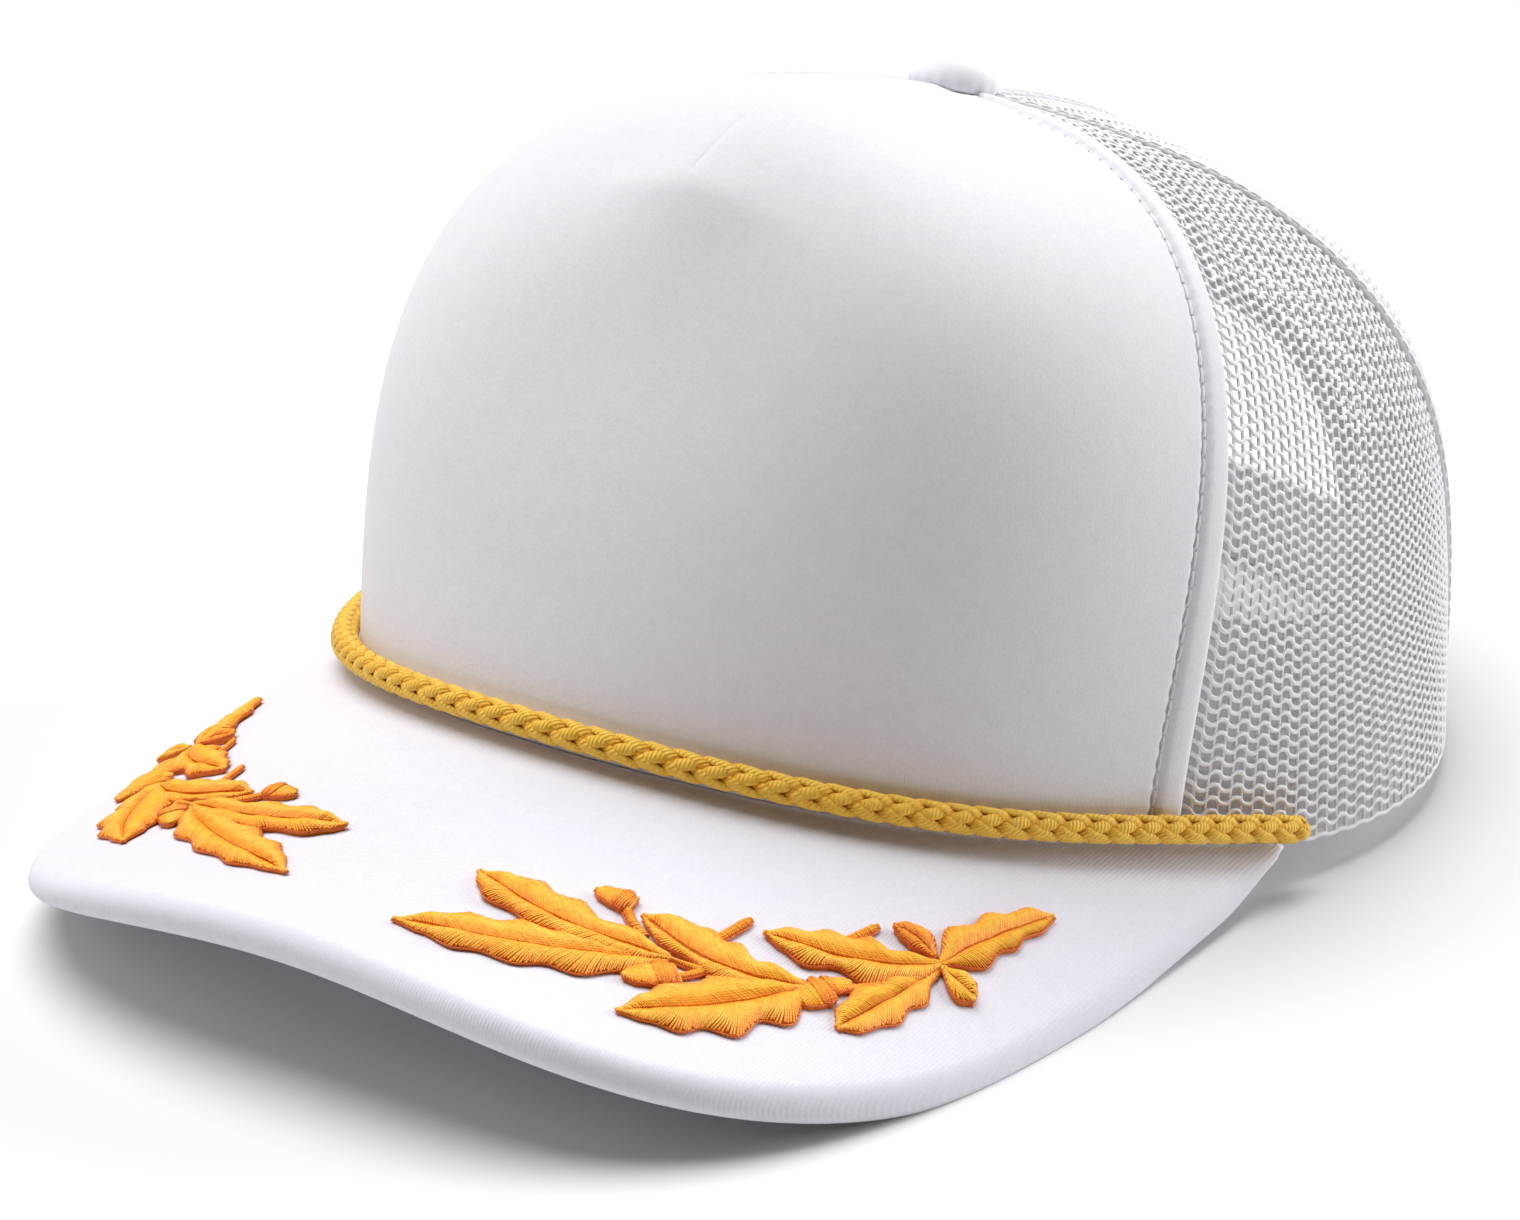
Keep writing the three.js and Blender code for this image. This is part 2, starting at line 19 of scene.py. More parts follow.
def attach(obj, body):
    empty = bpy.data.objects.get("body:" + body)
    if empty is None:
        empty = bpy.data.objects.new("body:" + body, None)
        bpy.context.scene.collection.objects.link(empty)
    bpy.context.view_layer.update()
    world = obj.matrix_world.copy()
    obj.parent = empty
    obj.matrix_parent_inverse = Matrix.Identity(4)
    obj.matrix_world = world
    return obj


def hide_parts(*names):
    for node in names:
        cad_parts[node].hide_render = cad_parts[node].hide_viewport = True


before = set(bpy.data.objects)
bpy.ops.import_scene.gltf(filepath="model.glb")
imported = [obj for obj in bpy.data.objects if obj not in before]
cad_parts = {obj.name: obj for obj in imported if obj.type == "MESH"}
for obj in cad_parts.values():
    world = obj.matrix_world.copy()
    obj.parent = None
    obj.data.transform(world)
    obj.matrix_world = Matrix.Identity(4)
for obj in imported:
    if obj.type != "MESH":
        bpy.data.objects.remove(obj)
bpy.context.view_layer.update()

log = logging.getLogger("cap")

MM = 0.001
Array = np.ndarray
Piece = bpy.types.Object
Tree = bpy.types.NodeTree
Node = bpy.types.Node
Socket = bpy.types.NodeSocket
Outputs = bpy.types.NodeOutputs
Pair = tuple[float, float]
Triple = tuple[float, float, float]
Table = dict[str, Array]
Lines = list[tuple[Array, Array]]

BODY = "root"
SEED = 20
# Bands of a wave texture lie this far apart at scale one.
WAVE_BAND = 0.314
# Below this a length counts as nothing.
NOTHING = 1e-12


class Slot(Enum):
    """The record's material slots."""

    FOAM_CLOTH = "foam_cloth"
    NET = "net"
    BAND_CLOTH = "band_cloth"
    ROPE = "rope"
    THREAD = "embroidery_thread"
    STRAP = "strap_plastic"


class Side(Enum):
    """The wearer's left and right, with the sign of x on each."""

    LEFT = 1
    RIGHT = -1

    @property
    def word(self) -> str:
        """The side's name as nodes use it."""
        return self.name.lower()


# ---- small helpers


def linear(code: str) -> tuple[float, float, float, float]:
    """Turns an sRGB hex colour into linear RGBA.

    Args:
        code: Six hex digits.

    Returns:
        Linear red, green and blue, with full alpha.
    """
    parts = [int(code[i:i + 2], 16) / 255 for i in (0, 2, 4)]
    rgb = [p / 12.92 if p <= 0.04045 else ((p + 0.055) / 1.055) ** 2.4 for p in parts]
    return (rgb[0], rgb[1], rgb[2], 1.0)


def add_node(tree: Tree, kind: str, inputs: dict | None = None, **settings: object) -> Node:
    """Adds a node, sets its properties, and sets or links its inputs.

    Args:
        tree: The node tree it goes into.
        kind: Blender's name for the node type.
        inputs: Input name or number, to a value or to what feeds it, a socket or a node's first output.
        **settings: Properties of the node.

    Returns:
        The new node.
    """
    node = tree.nodes.new(kind)
    for name, value in settings.items():
        setattr(node, name, value)
    for key, value in (inputs or {}).items():
        value = value.outputs[0] if isinstance(value, Node) else value
        if isinstance(value, Socket):
            tree.links.new(value, node.inputs[key])
        else:
            node.inputs[key].default_value = value
    return node


def smooth_step(value: Array | float) -> Array:
    """Eases from 0 to 1 as the value does."""
    t = np.clip(value, 0.0, 1.0)
    return t * t * (3 - 2 * t)


def bell(value: Array | float, half_span: float) -> Array:
    """A smooth bump, 1 at zero, that has faded to a third at its half span."""
    return np.exp(-((value / half_span) ** 2))


def unit(vectors: Array) -> Array:
    """Vectors of length one along the given ones."""
    return vectors / np.maximum(np.linalg.norm(vectors, axis=-1, keepdims=True), NOTHING)


def steps(count: int, low: float = 0.0, high: float = 1.0) -> Array:
    """Evenly spaced numbers, both ends included."""
    return np.linspace(low, high, count)


def together(*numbers: Array | float) -> tuple[Array, ...]:
    """The numbers as arrays of one common shape."""
    return np.broadcast_arrays(*(np.asarray(number, float) for number in numbers))


def lengths_along(points: Array, axis: int = 0) -> Array:
    """How far each point of a line, or of a grid's lines, lies along it.

    Args:
        points: Points of a line or grid, by 2 or 3.
        axis: The axis that the lines run along.

    Returns:
        Lengths from each line's first point.
    """
    parts = np.linalg.norm(np.diff(points, axis=axis), axis=-1)
    start = np.zeros_like(np.take(parts, [0], axis))
    return np.concatenate([start, np.cumsum(parts, axis=axis)], axis=axis)


def evened(line: Array, count: int) -> tuple[Array, Array]:
    """Points at even distances along a line.

    Args:
        line: The line's own points.
        count: How many points to give.

    Returns:
        The points, and how far each lies along the line.
    """
    reach = lengths_along(line)
    even = steps(count, 0, reach[-1])
    return np.stack([np.interp(even, reach, part) for part in line.T], axis=-1), even


def tilted(vectors: Array, angle: float) -> Array:
    """Turns vectors about the x axis.

    Args:
        vectors: Any array of vectors.
        angle: The turn in radians.

    Returns:
        The turned vectors.
    """
    cosine, sine = math.cos(angle), math.sin(angle)
    x, y, z = np.moveaxis(vectors, -1, 0)
    return np.stack([x, y * cosine - z * sine, y * sine + z * cosine], axis=-1)


# ---- where the cap stands


@dataclass(frozen=True)
class Stand:
    """How the drawn cap is tilted and moved onto the surface that it rests on.

    Soft edges that would reach below the surface flatten on it, a hair above.
    """

    tilt: float = -0.048579
    forward: float = 36.7377
    up: float = 5.0488
    lowest: float = 0.03

    def place(self, points: Array) -> Array:
        """Moves points onto the resting surface.

        Args:
            points: Points in the cap's millimetres.

        Returns:
            The points in the row frame's metres.
        """
        moved = tilted(points, self.tilt) + [0, self.forward, self.up]
        moved[..., 2] = np.maximum(moved[..., 2], self.lowest)
        return moved * MM

    def turn(self, vectors: Array) -> Array:
        """Turns directions as the points are turned."""
        return tilted(vectors, self.tilt)

    def surface_height(self, y: Array | float) -> Array:
        """The resting surface's height in the cap's own frame."""
        return -(self.up + y * math.sin(self.tilt)) / math.cos(self.tilt)


STAND = Stand()


# ---- the form of crown and visor


@dataclass(frozen=True)
class VisorForm:
    """The visor's upper face: an arched sheet that falls away from the crown and widens past it."""

    front: float = 107.3
    root_height: float = 19.5
    arch_radius: float = 124.7
    arch_flattening: float = 0.229
    shoulder: float = 0.65
    shoulder_span: float = 80.0
    pitch: float = 0.221
    lift: float = 7.15
    lift_span: float = 70.0
    reach: float = 64.8
    half_width: float = 83.7
    squareness: float = 3.38
    flank_y: float = -23.5
    end_angle: float = 69.0
    out_limits: Pair = (-1.2, 2.0)

    def height(self, x: Array, y: Array) -> Array:
        """The upper face's height over a plan point.

        Args:
            x: Plan x.
            y: Plan y.

        Returns:
            The heights.
        """
        out = np.clip(-(y + self.front) / self.lift_span, *self.out_limits)
        arch = x * x / (2 * self.arch_radius) * (1 - self.arch_flattening * out)
        shoulder = self.shoulder * (x / self.shoulder_span) ** 4
        lift = self.lift * np.maximum(out, 0) ** 2
        return self.root_height - arch + shoulder + self.pitch * (y + self.front) + lift


VISOR_FORM = VisorForm()


@dataclass(frozen=True)
class Seam:
    """A seam that climbs the crown, by its angle at the rim and at the button."""

    rim: float
    top: float


FRONT_SEAM = Seam(58.3, 82.4)
SIDE_SEAM = Seam(124.0, 112.0)
BACK_SEAM = Seam(180.0, 180.0)


@dataclass
class CrownForm:
    """The crown's outer skin, from sections 30 degrees apart that are alike on both sides.

    radius: rim to axis. fullness: how square the profile is. lean: how far the wall leans in.
    dip: how far the top sags, or below zero rises, towards the button.
    """

    radius: tuple[float, ...] = (107.3, 99.9, 89.5, 90.2, 89.3, 93.3, 97.8)
    fullness: tuple[float, ...] = (3.60, 3.32, 3.06, 2.80, 3.19, 3.38, 3.31)
    lean: tuple[float, ...] = (0.19, 0.035, 0.041, 0.143, 0.057, -0.022, -0.018)
    dip: tuple[float, ...] = (-0.20, -0.117, -0.045, 0.027, 0.168, 0.259, 0.213)
    height: float = 102.0
    visible_top: float = 0.982
    net_top: float = 0.972
    profile_power: float = 5 / 3
    wall_top: float = 0.6
    halvings: int = 30
    back_rounds: int = 8
    angle_step: float = 0.5
    share_step: float = 0.004
    peak_share: float = 0.49
    peak_half_angle: float = 10.0
    peak_proud: float = 2.4
    peak_half_share: float = 0.07
    peak_softness: float = 0.012
    hollow_share: float = 0.355
    hollow_half_angle: float = 14.0
    hollow_deep: float = 1.8
    hollow_half_share: float = 0.1
    rim_blend_start: float = -4.0
    rim_blend_span: float = 20.0
    foam_wall: float = 3.0
    net_wall: float = 1.2
    gap: float = 0.3
    waves: Table = field(default_factory=dict)

    def __post_init__(self) -> None:
        """Works out the cosine waves that pass through each column of sections."""
        for name in ("radius", "fullness", "lean", "dip"):
            values = np.array(getattr(self, name))
            last = len(values) - 1
            orders = np.arange(last + 1)
            weights = np.where((orders == 0) | (orders == last), 0.5, 1.0)
            sums = np.cos(np.pi * np.outer(orders, orders) / last) @ (weights * values)
            self.waves[name] = sums * weights * 2 / last

    def around(self, name: str, angle: Array) -> Array:
        """The value of one section number at any angle."""
        turn = np.radians(np.asarray(angle, float))
        return sum(wave * np.cos(order * turn) for order, wave in enumerate(self.waves[name]))

    def rim_plan(self, angle: Array, inset: float = 0.0) -> tuple[Array, Array]:
        """The rim's plan x and y at an angle, or a line inside it."""
        radius = self.around("radius", angle) - inset
        return radius * np.sin(np.radians(angle)), -radius * np.cos(np.radians(angle))

    def rim_height(self, angle: Array) -> Array:
        """The rim's height: on the visor in front, level behind.

        Args:
            angle: Angles round the head.

        Returns:
            The heights.
        """
        x, y = self.rim_plan(angle)
        past = np.abs(angle) - VISOR_FORM.end_angle - self.rim_blend_start
        return VISOR_FORM.height(x, y) * (1 - smooth_step(past / self.rim_blend_span))

    def profile_angle(self, share: Array) -> Array:
        """The profile's own angle at a share, spread evenly along the profile.

        Args:
            share: Shares of the way up.

        Returns:
            Radians, from the rim (0) to the button (a right angle).
        """
        low = share ** self.profile_power
        high = (1 - share) ** self.profile_power
        return low / (low + high) * (math.pi / 2)

    def skin(self, angle: Array, share: Array) -> Array:
        """Points of the outer skin.

        Args:
            angle: Angles round the head.
            share: Shares of the way up.

        Returns:
            The points.
        """
        turn, share = together((np.asarray(angle, float) + 180) % 360 - 180, np.clip(share, 0, 1))
        tau = self.profile_angle(share)
        power = 2 / self.around("fullness", turn)
        run = np.maximum(np.cos(tau), 0) ** power
        rise = np.sin(tau) ** power
        radius = self.around("radius", turn)
        foot = self.rim_height(turn)
        off_peak = np.hypot(share - self.peak_share, self.peak_softness) - self.peak_softness
        ridge = self.peak_proud * bell(turn, self.peak_half_angle)
        ridge = ridge * np.exp(-off_peak / self.peak_half_share)
        hollow = self.hollow_deep * bell(turn, self.hollow_half_angle)
        hollow = hollow * bell(share - self.hollow_share, self.hollow_half_share)
        reach = radius * run * (1 - self.around("lean", turn) * rise) + ridge - hollow
        sag = self.around("dip", turn) * radius * run * rise ** 2
        z = foot + (self.height - foot) * rise - sag + ridge
        return np.stack([reach * np.sin(np.radians(turn)), -reach * np.cos(np.radians(turn)), z], axis=-1)

    def normal(self, angle: Array, share: Array) -> Array:
        """Outward directions of the skin.

        Args:
            angle: Angles round the head.
            share: Shares of the way up.

        Returns:
            Directions of length one.
        """
        along = self.skin(angle + self.angle_step, share) - self.skin(angle - self.angle_step, share)
        up = self.skin(angle, share + self.share_step) - self.skin(angle, share - self.share_step)
        return unit(np.cross(along, up))

    def point(self, angle: Array, share: Array, depth: Array | float = 0.0) -> Array:
        """Points at a depth in millimetres below the skin; below zero they stand proud."""
        angle, share, depth = together(angle, share, depth)
        return self.skin(angle, share) - self.normal(angle, share) * depth[..., None]

    def share_at_rise(self, angle: Array, rise: Array | float) -> Array:
        """The share at a height above the rim, found by halving.

        Args:
            angle: Angles round the head.
            rise: Heights above the rim.

        Returns:
            The shares.
        """
        angle, rise = together(angle, rise)
        goal = self.skin(angle, np.zeros_like(angle))[..., 2] + rise
        low, high = np.zeros_like(goal), np.full_like(goal, self.wall_top)
        for _ in range(self.halvings):
            middle = (low + high) / 2
            below = self.skin(angle, middle)[..., 2] < goal
            low, high = np.where(below, middle, low), np.where(below, high, middle)
        return (low + high) / 2

    def wall(self, angle: Array, rise: Array, depth: Array | float) -> Array:
        """Wall points by their rise; below the rim the wall goes straight down.

        Args:
            angle: Angles round the head.
            rise: Heights above the rim.
            depth: Depths below the skin.

        Returns:
            The points.
        """
        share = self.share_at_rise(angle, np.maximum(rise, 0))
        points = self.point(angle, share, depth)
        points[..., 2] += np.minimum(rise, 0)
        return points

    def seam_angle(self, seam: Seam, share: Array, offset: Array | float = 0.0) -> Array:
        """A seam's angle at a share, moved sideways by an offset in millimetres.

        Args:
            seam: The seam.
            share: Shares of the way up.
            offset: Millimetres away from the front.

        Returns:
            The angles.
        """
        climb = self.profile_angle(np.asarray(share, float)) / (math.pi / 2)
        angle = seam.rim + (seam.top - seam.rim) * climb
        point = self.skin(angle, share)
        return angle + np.degrees(offset / np.hypot(point[..., 0], point[..., 1]))

    def back_point(self, x: Array, z: Array, depth: Array | float) -> Array:
        """Points of the crown's back, by plan x and height.

        Args:
            x: Plan x.
            z: Heights.
            depth: Depths below the skin.

        Returns:
            The points.
        """
        x, z = together(x, z)
        angle, share = np.full_like(x, 180.0), np.zeros_like(x)
        for _ in range(self.back_rounds):
            share = np.where(z > 0, self.share_at_rise(angle, np.maximum(z, 0)), 0)
            skin = self.skin(angle, share)
            sine = np.clip(x / np.hypot(skin[..., 0], skin[..., 1]), -1, 1)
            angle = 180 - np.degrees(np.arcsin(sine))
        return self.point(angle, share, depth)


CROWN = CrownForm()


# ---- meshes


def show(name: str, data: bpy.types.ID) -> Piece:
    """Links a new object with the given data.

    Args:
        name: The object's name.
        data: Its mesh, light or camera.

    Returns:
        The object, at the origin.
    """
    piece = bpy.data.objects.new(name, data)
    bpy.context.scene.collection.objects.link(piece)
    return piece


def make_object(name: str, vertices: Array, faces: list, edges: list | None = None) -> Piece:
    """Links a new mesh object whose vertices are given in the cap's millimetres.

    Args:
        name: The piece's name.
        vertices: Points, n by 3.
        faces: Vertex numbers of each face.
        edges: Vertex pairs, for a mesh of bare paths.

    Returns:
        The object, at the origin, with its place in its mesh.
    """
    mesh = bpy.data.meshes.new(name)
    mesh.from_pydata(STAND.place(np.asarray(vertices)).tolist(), edges or [], faces)
    mesh.update()
    return show(name, mesh)


def face_outwards(piece: Piece) -> None:
    """Turns all faces of a closed mesh outwards and shades it smooth.

    Args:
        piece: The closed mesh.
    """
    shape = bmesh.new()
    shape.from_mesh(piece.data)
    bmesh.ops.recalc_face_normals(shape, faces=shape.faces)
    for face in shape.faces:
        face.smooth = True
    shape.to_mesh(piece.data)
    shape.free()


def store_vectors(piece: Piece, name: str, vectors: Array) -> None:
    """Keeps one vector for each vertex as an attribute that the finish reads."""
    layer = piece.data.attributes.new(name, "FLOAT_VECTOR", "POINT")
    layer.data.foreach_set("vector", np.asarray(vectors, np.float32).ravel())


def store_numbers(piece: Piece, name: str, numbers: Array) -> None:
    """Keeps one number for each vertex as an attribute that the finish reads."""
    layer = piece.data.attributes.new(name, "FLOAT", "POINT")
    layer.data.foreach_set("value", np.asarray(numbers, np.float32))


def shell_object(name: str, outer: Array, inner: Array, lay: Array) -> Piece:
    """A closed shell between two grids of points.

    Args:
        name: The piece's name.
        outer: Outer grid, rows by columns by 3.
        inner: Inner grid of the same size.
        lay: How the cloth lies, in millimetres along and up, rows by columns by 2.

    Returns:
        The closed, outward-facing piece.
    """
    rows, columns = outer.shape[:2]
    index = np.arange(rows * columns).reshape(rows, columns)
    back = index + rows * columns

    def quads(a: Array, b: Array, c: Array, d: Array) -> list:
        """Faces through four equal arrays of vertex numbers."""
        return np.stack([a.ravel(), b.ravel(), c.ravel(), d.ravel()], axis=1).tolist()

    faces = quads(index[:-1, :-1], index[:-1, 1:], index[1:, 1:], index[1:, :-1])
    faces += quads(back[:-1, :-1], back[1:, :-1], back[1:, 1:], back[:-1, 1:])
    for edge in (np.s_[0], np.s_[-1], np.s_[:, 0], np.s_[:, -1]):
        line, other = index[edge], back[edge]
        faces += quads(line[:-1], other[:-1], other[1:], line[1:])
    piece = make_object(name, np.concatenate([outer.reshape(-1, 3), inner.reshape(-1, 3)]), faces)
    face_outwards(piece)
    flat = np.concatenate([lay, np.zeros_like(lay[..., :1])], axis=-1).reshape(-1, 3) * MM
    store_vectors(piece, "lay", np.concatenate([flat, flat]))
    return piece


def ring_faces(rings: int, size: int, start: int = 0) -> list[list[int]]:
    """Faces that join equal rings of vertices and cap both ends.

    Args:
        rings: How many rings there are.
        size: How many vertices each has.
        start: The first ring's first vertex.

    Returns:
        The vertex numbers of each face.
    """
    index = start + np.arange(rings * size).reshape(rings, size)
    turned = np.roll(index, -1, axis=1)
    corners = (index[:-1], turned[:-1], turned[1:], index[1:])
    faces = np.stack([corner.ravel() for corner in corners], axis=1).tolist()
    return faces + [index[0].tolist(), index[-1].tolist()]


def ring_object(name: str, rings: Array) -> Piece:
    """A closed solid through equal rings of points, capped at both ends.

    Args:
        name: The piece's name.
        rings: Rings by points by 3.

    Returns:
        The closed, outward-facing piece.
    """
    piece = make_object(name, rings.reshape(-1, 3), ring_faces(*rings.shape[:2]))
    face_outwards(piece)
    return piece


@dataclass
class Paths:
    """Thread paths that Geometry Nodes turn into threads, in the cap's millimetres."""

    lines: list[tuple[Array, ...]] = field(default_factory=list)

    def add(self, points: Array, outward: Array, girth: Array | float, tone: Array | float = 0.5) -> None:
        """Adds one path with its outward directions, half thickness and tone.

        Args:
            points: The path.
            outward: Which way is out, for the path or each point.
            girth: Half thickness.
            tone: Dark (0) to light (1).
        """
        count = len(points)
        self.lines.append((points, np.broadcast_to(outward, (count, 3)), np.broadcast_to(girth, count),
                           np.broadcast_to(tone, count), lengths_along(points)))

    def to_object(self, name: str) -> Piece:
        """A mesh of bare edges that carries the paths and what is known at each point.

        Args:
            name: The piece's name.

        Returns:
            The bare paths, ready for a recipe.
        """
        edges, start = [], 0
        for line, *_ in self.lines:
            numbers = np.arange(start, start + len(line))
            edges += np.stack([numbers[:-1], numbers[1:]], axis=1).tolist()
            start += len(line)
        points, outward, girth, tone, along = (np.concatenate(part) for part in zip(*self.lines))
        piece = make_object(name, points, [], edges)
        store_vectors(piece, "outward", STAND.turn(outward))
        store_numbers(piece, "girth", girth * MM)
        store_numbers(piece, "tone", tone)
        store_numbers(piece, "along", along * MM)
        return piece


# ---- Geometry Nodes


class NodeRecipe:
    """A Geometry Nodes tree with named inputs, run on a piece and turned into a plain mesh."""

    title = "recipe"
    inputs: dict[str, int | float] = {}

    def __init__(self) -> None:
        """Builds the tree once, with its interface."""
        self.tree = bpy.data.node_groups.new(self.title, "GeometryNodeTree")
        face = self.tree.interface
        face.new_socket("Geometry", in_out="INPUT", socket_type="NodeSocketGeometry")
        for name, value in self.inputs.items():
            kind = "NodeSocketInt" if isinstance(value, int) else "NodeSocketFloat"
            face.new_socket(name, in_out="INPUT", socket_type=kind).default_value = value
        face.new_socket("Material", in_out="INPUT", socket_type="NodeSocketMaterial")
        face.new_socket("Geometry", in_out="OUTPUT", socket_type="NodeSocketGeometry")
        given = add_node(self.tree, "NodeGroupInput").outputs
        made = self.draw(given)
        real = add_node(self.tree, "GeometryNodeRealizeInstances", {"Geometry": made})
        dressed = add_node(self.tree, "GeometryNodeSetMaterial", {
            "Geometry": real, "Material": given["Material"]})
        add_node(self.tree, "NodeGroupOutput", {"Geometry": dressed})

    def draw(self, given: Outputs) -> Node:
        """Adds the nodes between the group's inputs and its last two nodes."""
        raise NotImplementedError

    def attribute(self, name: str, kind: str = "FLOAT") -> Socket:
        """A socket that reads an attribute of the geometry by its name."""
        node = add_node(self.tree, "GeometryNodeInputNamedAttribute", {"Name": name}, data_type=kind)
        return node.outputs["Attribute"]

    def run(self, piece: Piece, material: bpy.types.Material, **values: object) -> None:
        """Runs the tree on a piece and keeps the result as its plain mesh, with no modifier.

        Args:
            piece: The object that carries the paths.
            material: What the result is made of.
            **values: Inputs by name, with underscores for spaces.
        """
        modifier = piece.modifiers.new(self.title, "NODES")
        modifier.node_group = self.tree
        wanted = {name.replace("_", " "): value for name, value in values.items()}
        for item in self.tree.interface.items_tree:
            if item.in_out == "INPUT" and item.name in wanted:
                modifier[item.identifier] = wanted[item.name]
            elif item.in_out == "INPUT" and item.name == "Material":
                modifier[item.identifier] = material
        shown = piece.evaluated_get(bpy.context.evaluated_depsgraph_get())
        mesh = bpy.data.meshes.new_from_object(shown)
        piece.modifiers.clear()
        old, piece.data = piece.data, mesh
        mesh.name = piece.name
        bpy.data.meshes.remove(old)


class ThreadRecipe(NodeRecipe):
    """Sweeps an oval section along every path, its flat side facing outwards."""

    title = "threads_along_paths"
    inputs = {"Sides": 6, "Flatness": 0.8}

    def draw(self, given: Outputs) -> Node:
        """Paths become curves with a girth, and then tubes that keep the paths' attributes.

        Args:
            given: The group's inputs.

        Returns:
            The threads.
        """
        tree = self.tree
        curve = add_node(tree, "GeometryNodeMeshToCurve", {"Mesh": given["Geometry"]})
        aimed = add_node(tree, "GeometryNodeSetCurveNormal", {
            "Curve": curve, "Normal": self.attribute("outward", "FLOAT_VECTOR")}, mode="FREE")
        circle = add_node(tree, "GeometryNodeCurvePrimitiveCircle", {
            "Resolution": given["Sides"], "Radius": 1.0}, mode="RADIUS")
        spot = add_node(tree, "GeometryNodeInputPosition")
        marked = add_node(tree, "GeometryNodeStoreNamedAttribute", {
            "Geometry": circle, "Name": "lie", "Value": spot}, data_type="FLOAT_VECTOR", domain="POINT")
        squash = add_node(tree, "ShaderNodeCombineXYZ", {"X": given["Flatness"], "Y": 1.0, "Z": 1.0})
        oval = add_node(tree, "GeometryNodeTransform", {"Geometry": marked, "Scale": squash})
        tube = add_node(tree, "GeometryNodeCurveToMesh", {
            "Curve": aimed, "Profile Curve": oval, "Scale": self.attribute("girth"), "Fill Caps": True})
        return add_node(tree, "GeometryNodeSetShadeSmooth", {"Geometry": tube})


class StitchRecipe(NodeRecipe):
    """Sets small arched stitches along every path, a pitch apart, each a little askew."""

    title = "stitches_along_paths"
    inputs = {"Pitch": 2.8 * MM, "Length": 2.2 * MM, "Thread Radius": 0.2 * MM, "Arch": 0.25 * MM,
              "Skew": 0.08, "Seed": SEED}

    def draw(self, given: Outputs) -> Node:
        """One arched stitch is instanced along the paths and lined up with them.

        Args:
            given: The group's inputs.

        Returns:
            The stitches.
        """
        tree = self.tree
        curve = add_node(tree, "GeometryNodeMeshToCurve", {"Mesh": given["Geometry"]})
        dots = add_node(tree, "GeometryNodeCurveToPoints", {
            "Curve": curve, "Length": given["Pitch"]}, mode="LENGTH")
        half = add_node(tree, "ShaderNodeMath", {0: given["Length"], 1: 0.5}, operation="MULTIPLY")
        minus = add_node(tree, "ShaderNodeMath", {0: half, 1: -1.0}, operation="MULTIPLY")
        first = add_node(tree, "ShaderNodeCombineXYZ", {"X": minus})
        middle = add_node(tree, "ShaderNodeCombineXYZ", {"Z": given["Arch"]})
        last = add_node(tree, "ShaderNodeCombineXYZ", {"X": half})
        arc = add_node(tree, "GeometryNodeCurveQuadraticBezier", {
            "Resolution": 6, "Start": first, "Middle": middle, "End": last})
        circle = add_node(tree, "GeometryNodeCurvePrimitiveCircle", {
            "Resolution": 6, "Radius": given["Thread Radius"]}, mode="RADIUS")
        stitch = add_node(tree, "GeometryNodeCurveToMesh", {
            "Curve": arc, "Profile Curve": circle, "Fill Caps": True})
        smooth = add_node(tree, "GeometryNodeSetShadeSmooth", {"Geometry": stitch})
        along = add_node(tree, "FunctionNodeAlignRotationToVector", {
            "Vector": dots.outputs["Tangent"]}, axis="X")
        facing = add_node(tree, "FunctionNodeAlignRotationToVector", {
            "Rotation": along, "Vector": self.attribute("outward", "FLOAT_VECTOR")}, axis="Z",
            pivot_axis="X")
        least = add_node(tree, "ShaderNodeMath", {0: given["Skew"], 1: -1.0}, operation="MULTIPLY")
        askew = add_node(tree, "FunctionNodeRandomValue", {
            2: least, 3: given["Skew"], "Seed": given["Seed"]}, data_type="FLOAT")
        swing = add_node(tree, "ShaderNodeCombineXYZ", {"Z": askew.outputs[1]})
        turned = add_node(tree, "FunctionNodeRotateRotation", {
            "Rotation": facing, "Rotate By": swing}, rotation_space="LOCAL")
        return add_node(tree, "GeometryNodeInstanceOnPoints", {
            "Points": dots.outputs["Points"], "Instance": smooth, "Rotation": turned})


# ---- finishes


class Finish:
    """A procedural material, made once."""

    title = "finish"
    made: dict[str, bpy.types.Material] = {}

    def material(self) -> bpy.types.Material:
        """The finish's material, built on first use.

        Returns:
            The material, shared by all that use it.
        """
        if self.title not in Finish.made:
            material = bpy.data.materials.new(self.title)
            material.use_nodes = True
            material.node_tree.nodes.clear()
            shader = self.draw(material.node_tree)
            add_node(material.node_tree, "ShaderNodeOutputMaterial", {"Surface": shader})
            Finish.made[self.title] = material
        return Finish.made[self.title]

    def draw(self, tree: Tree) -> Node:
        """Adds the finish's nodes and returns its shader."""
        raise NotImplementedError


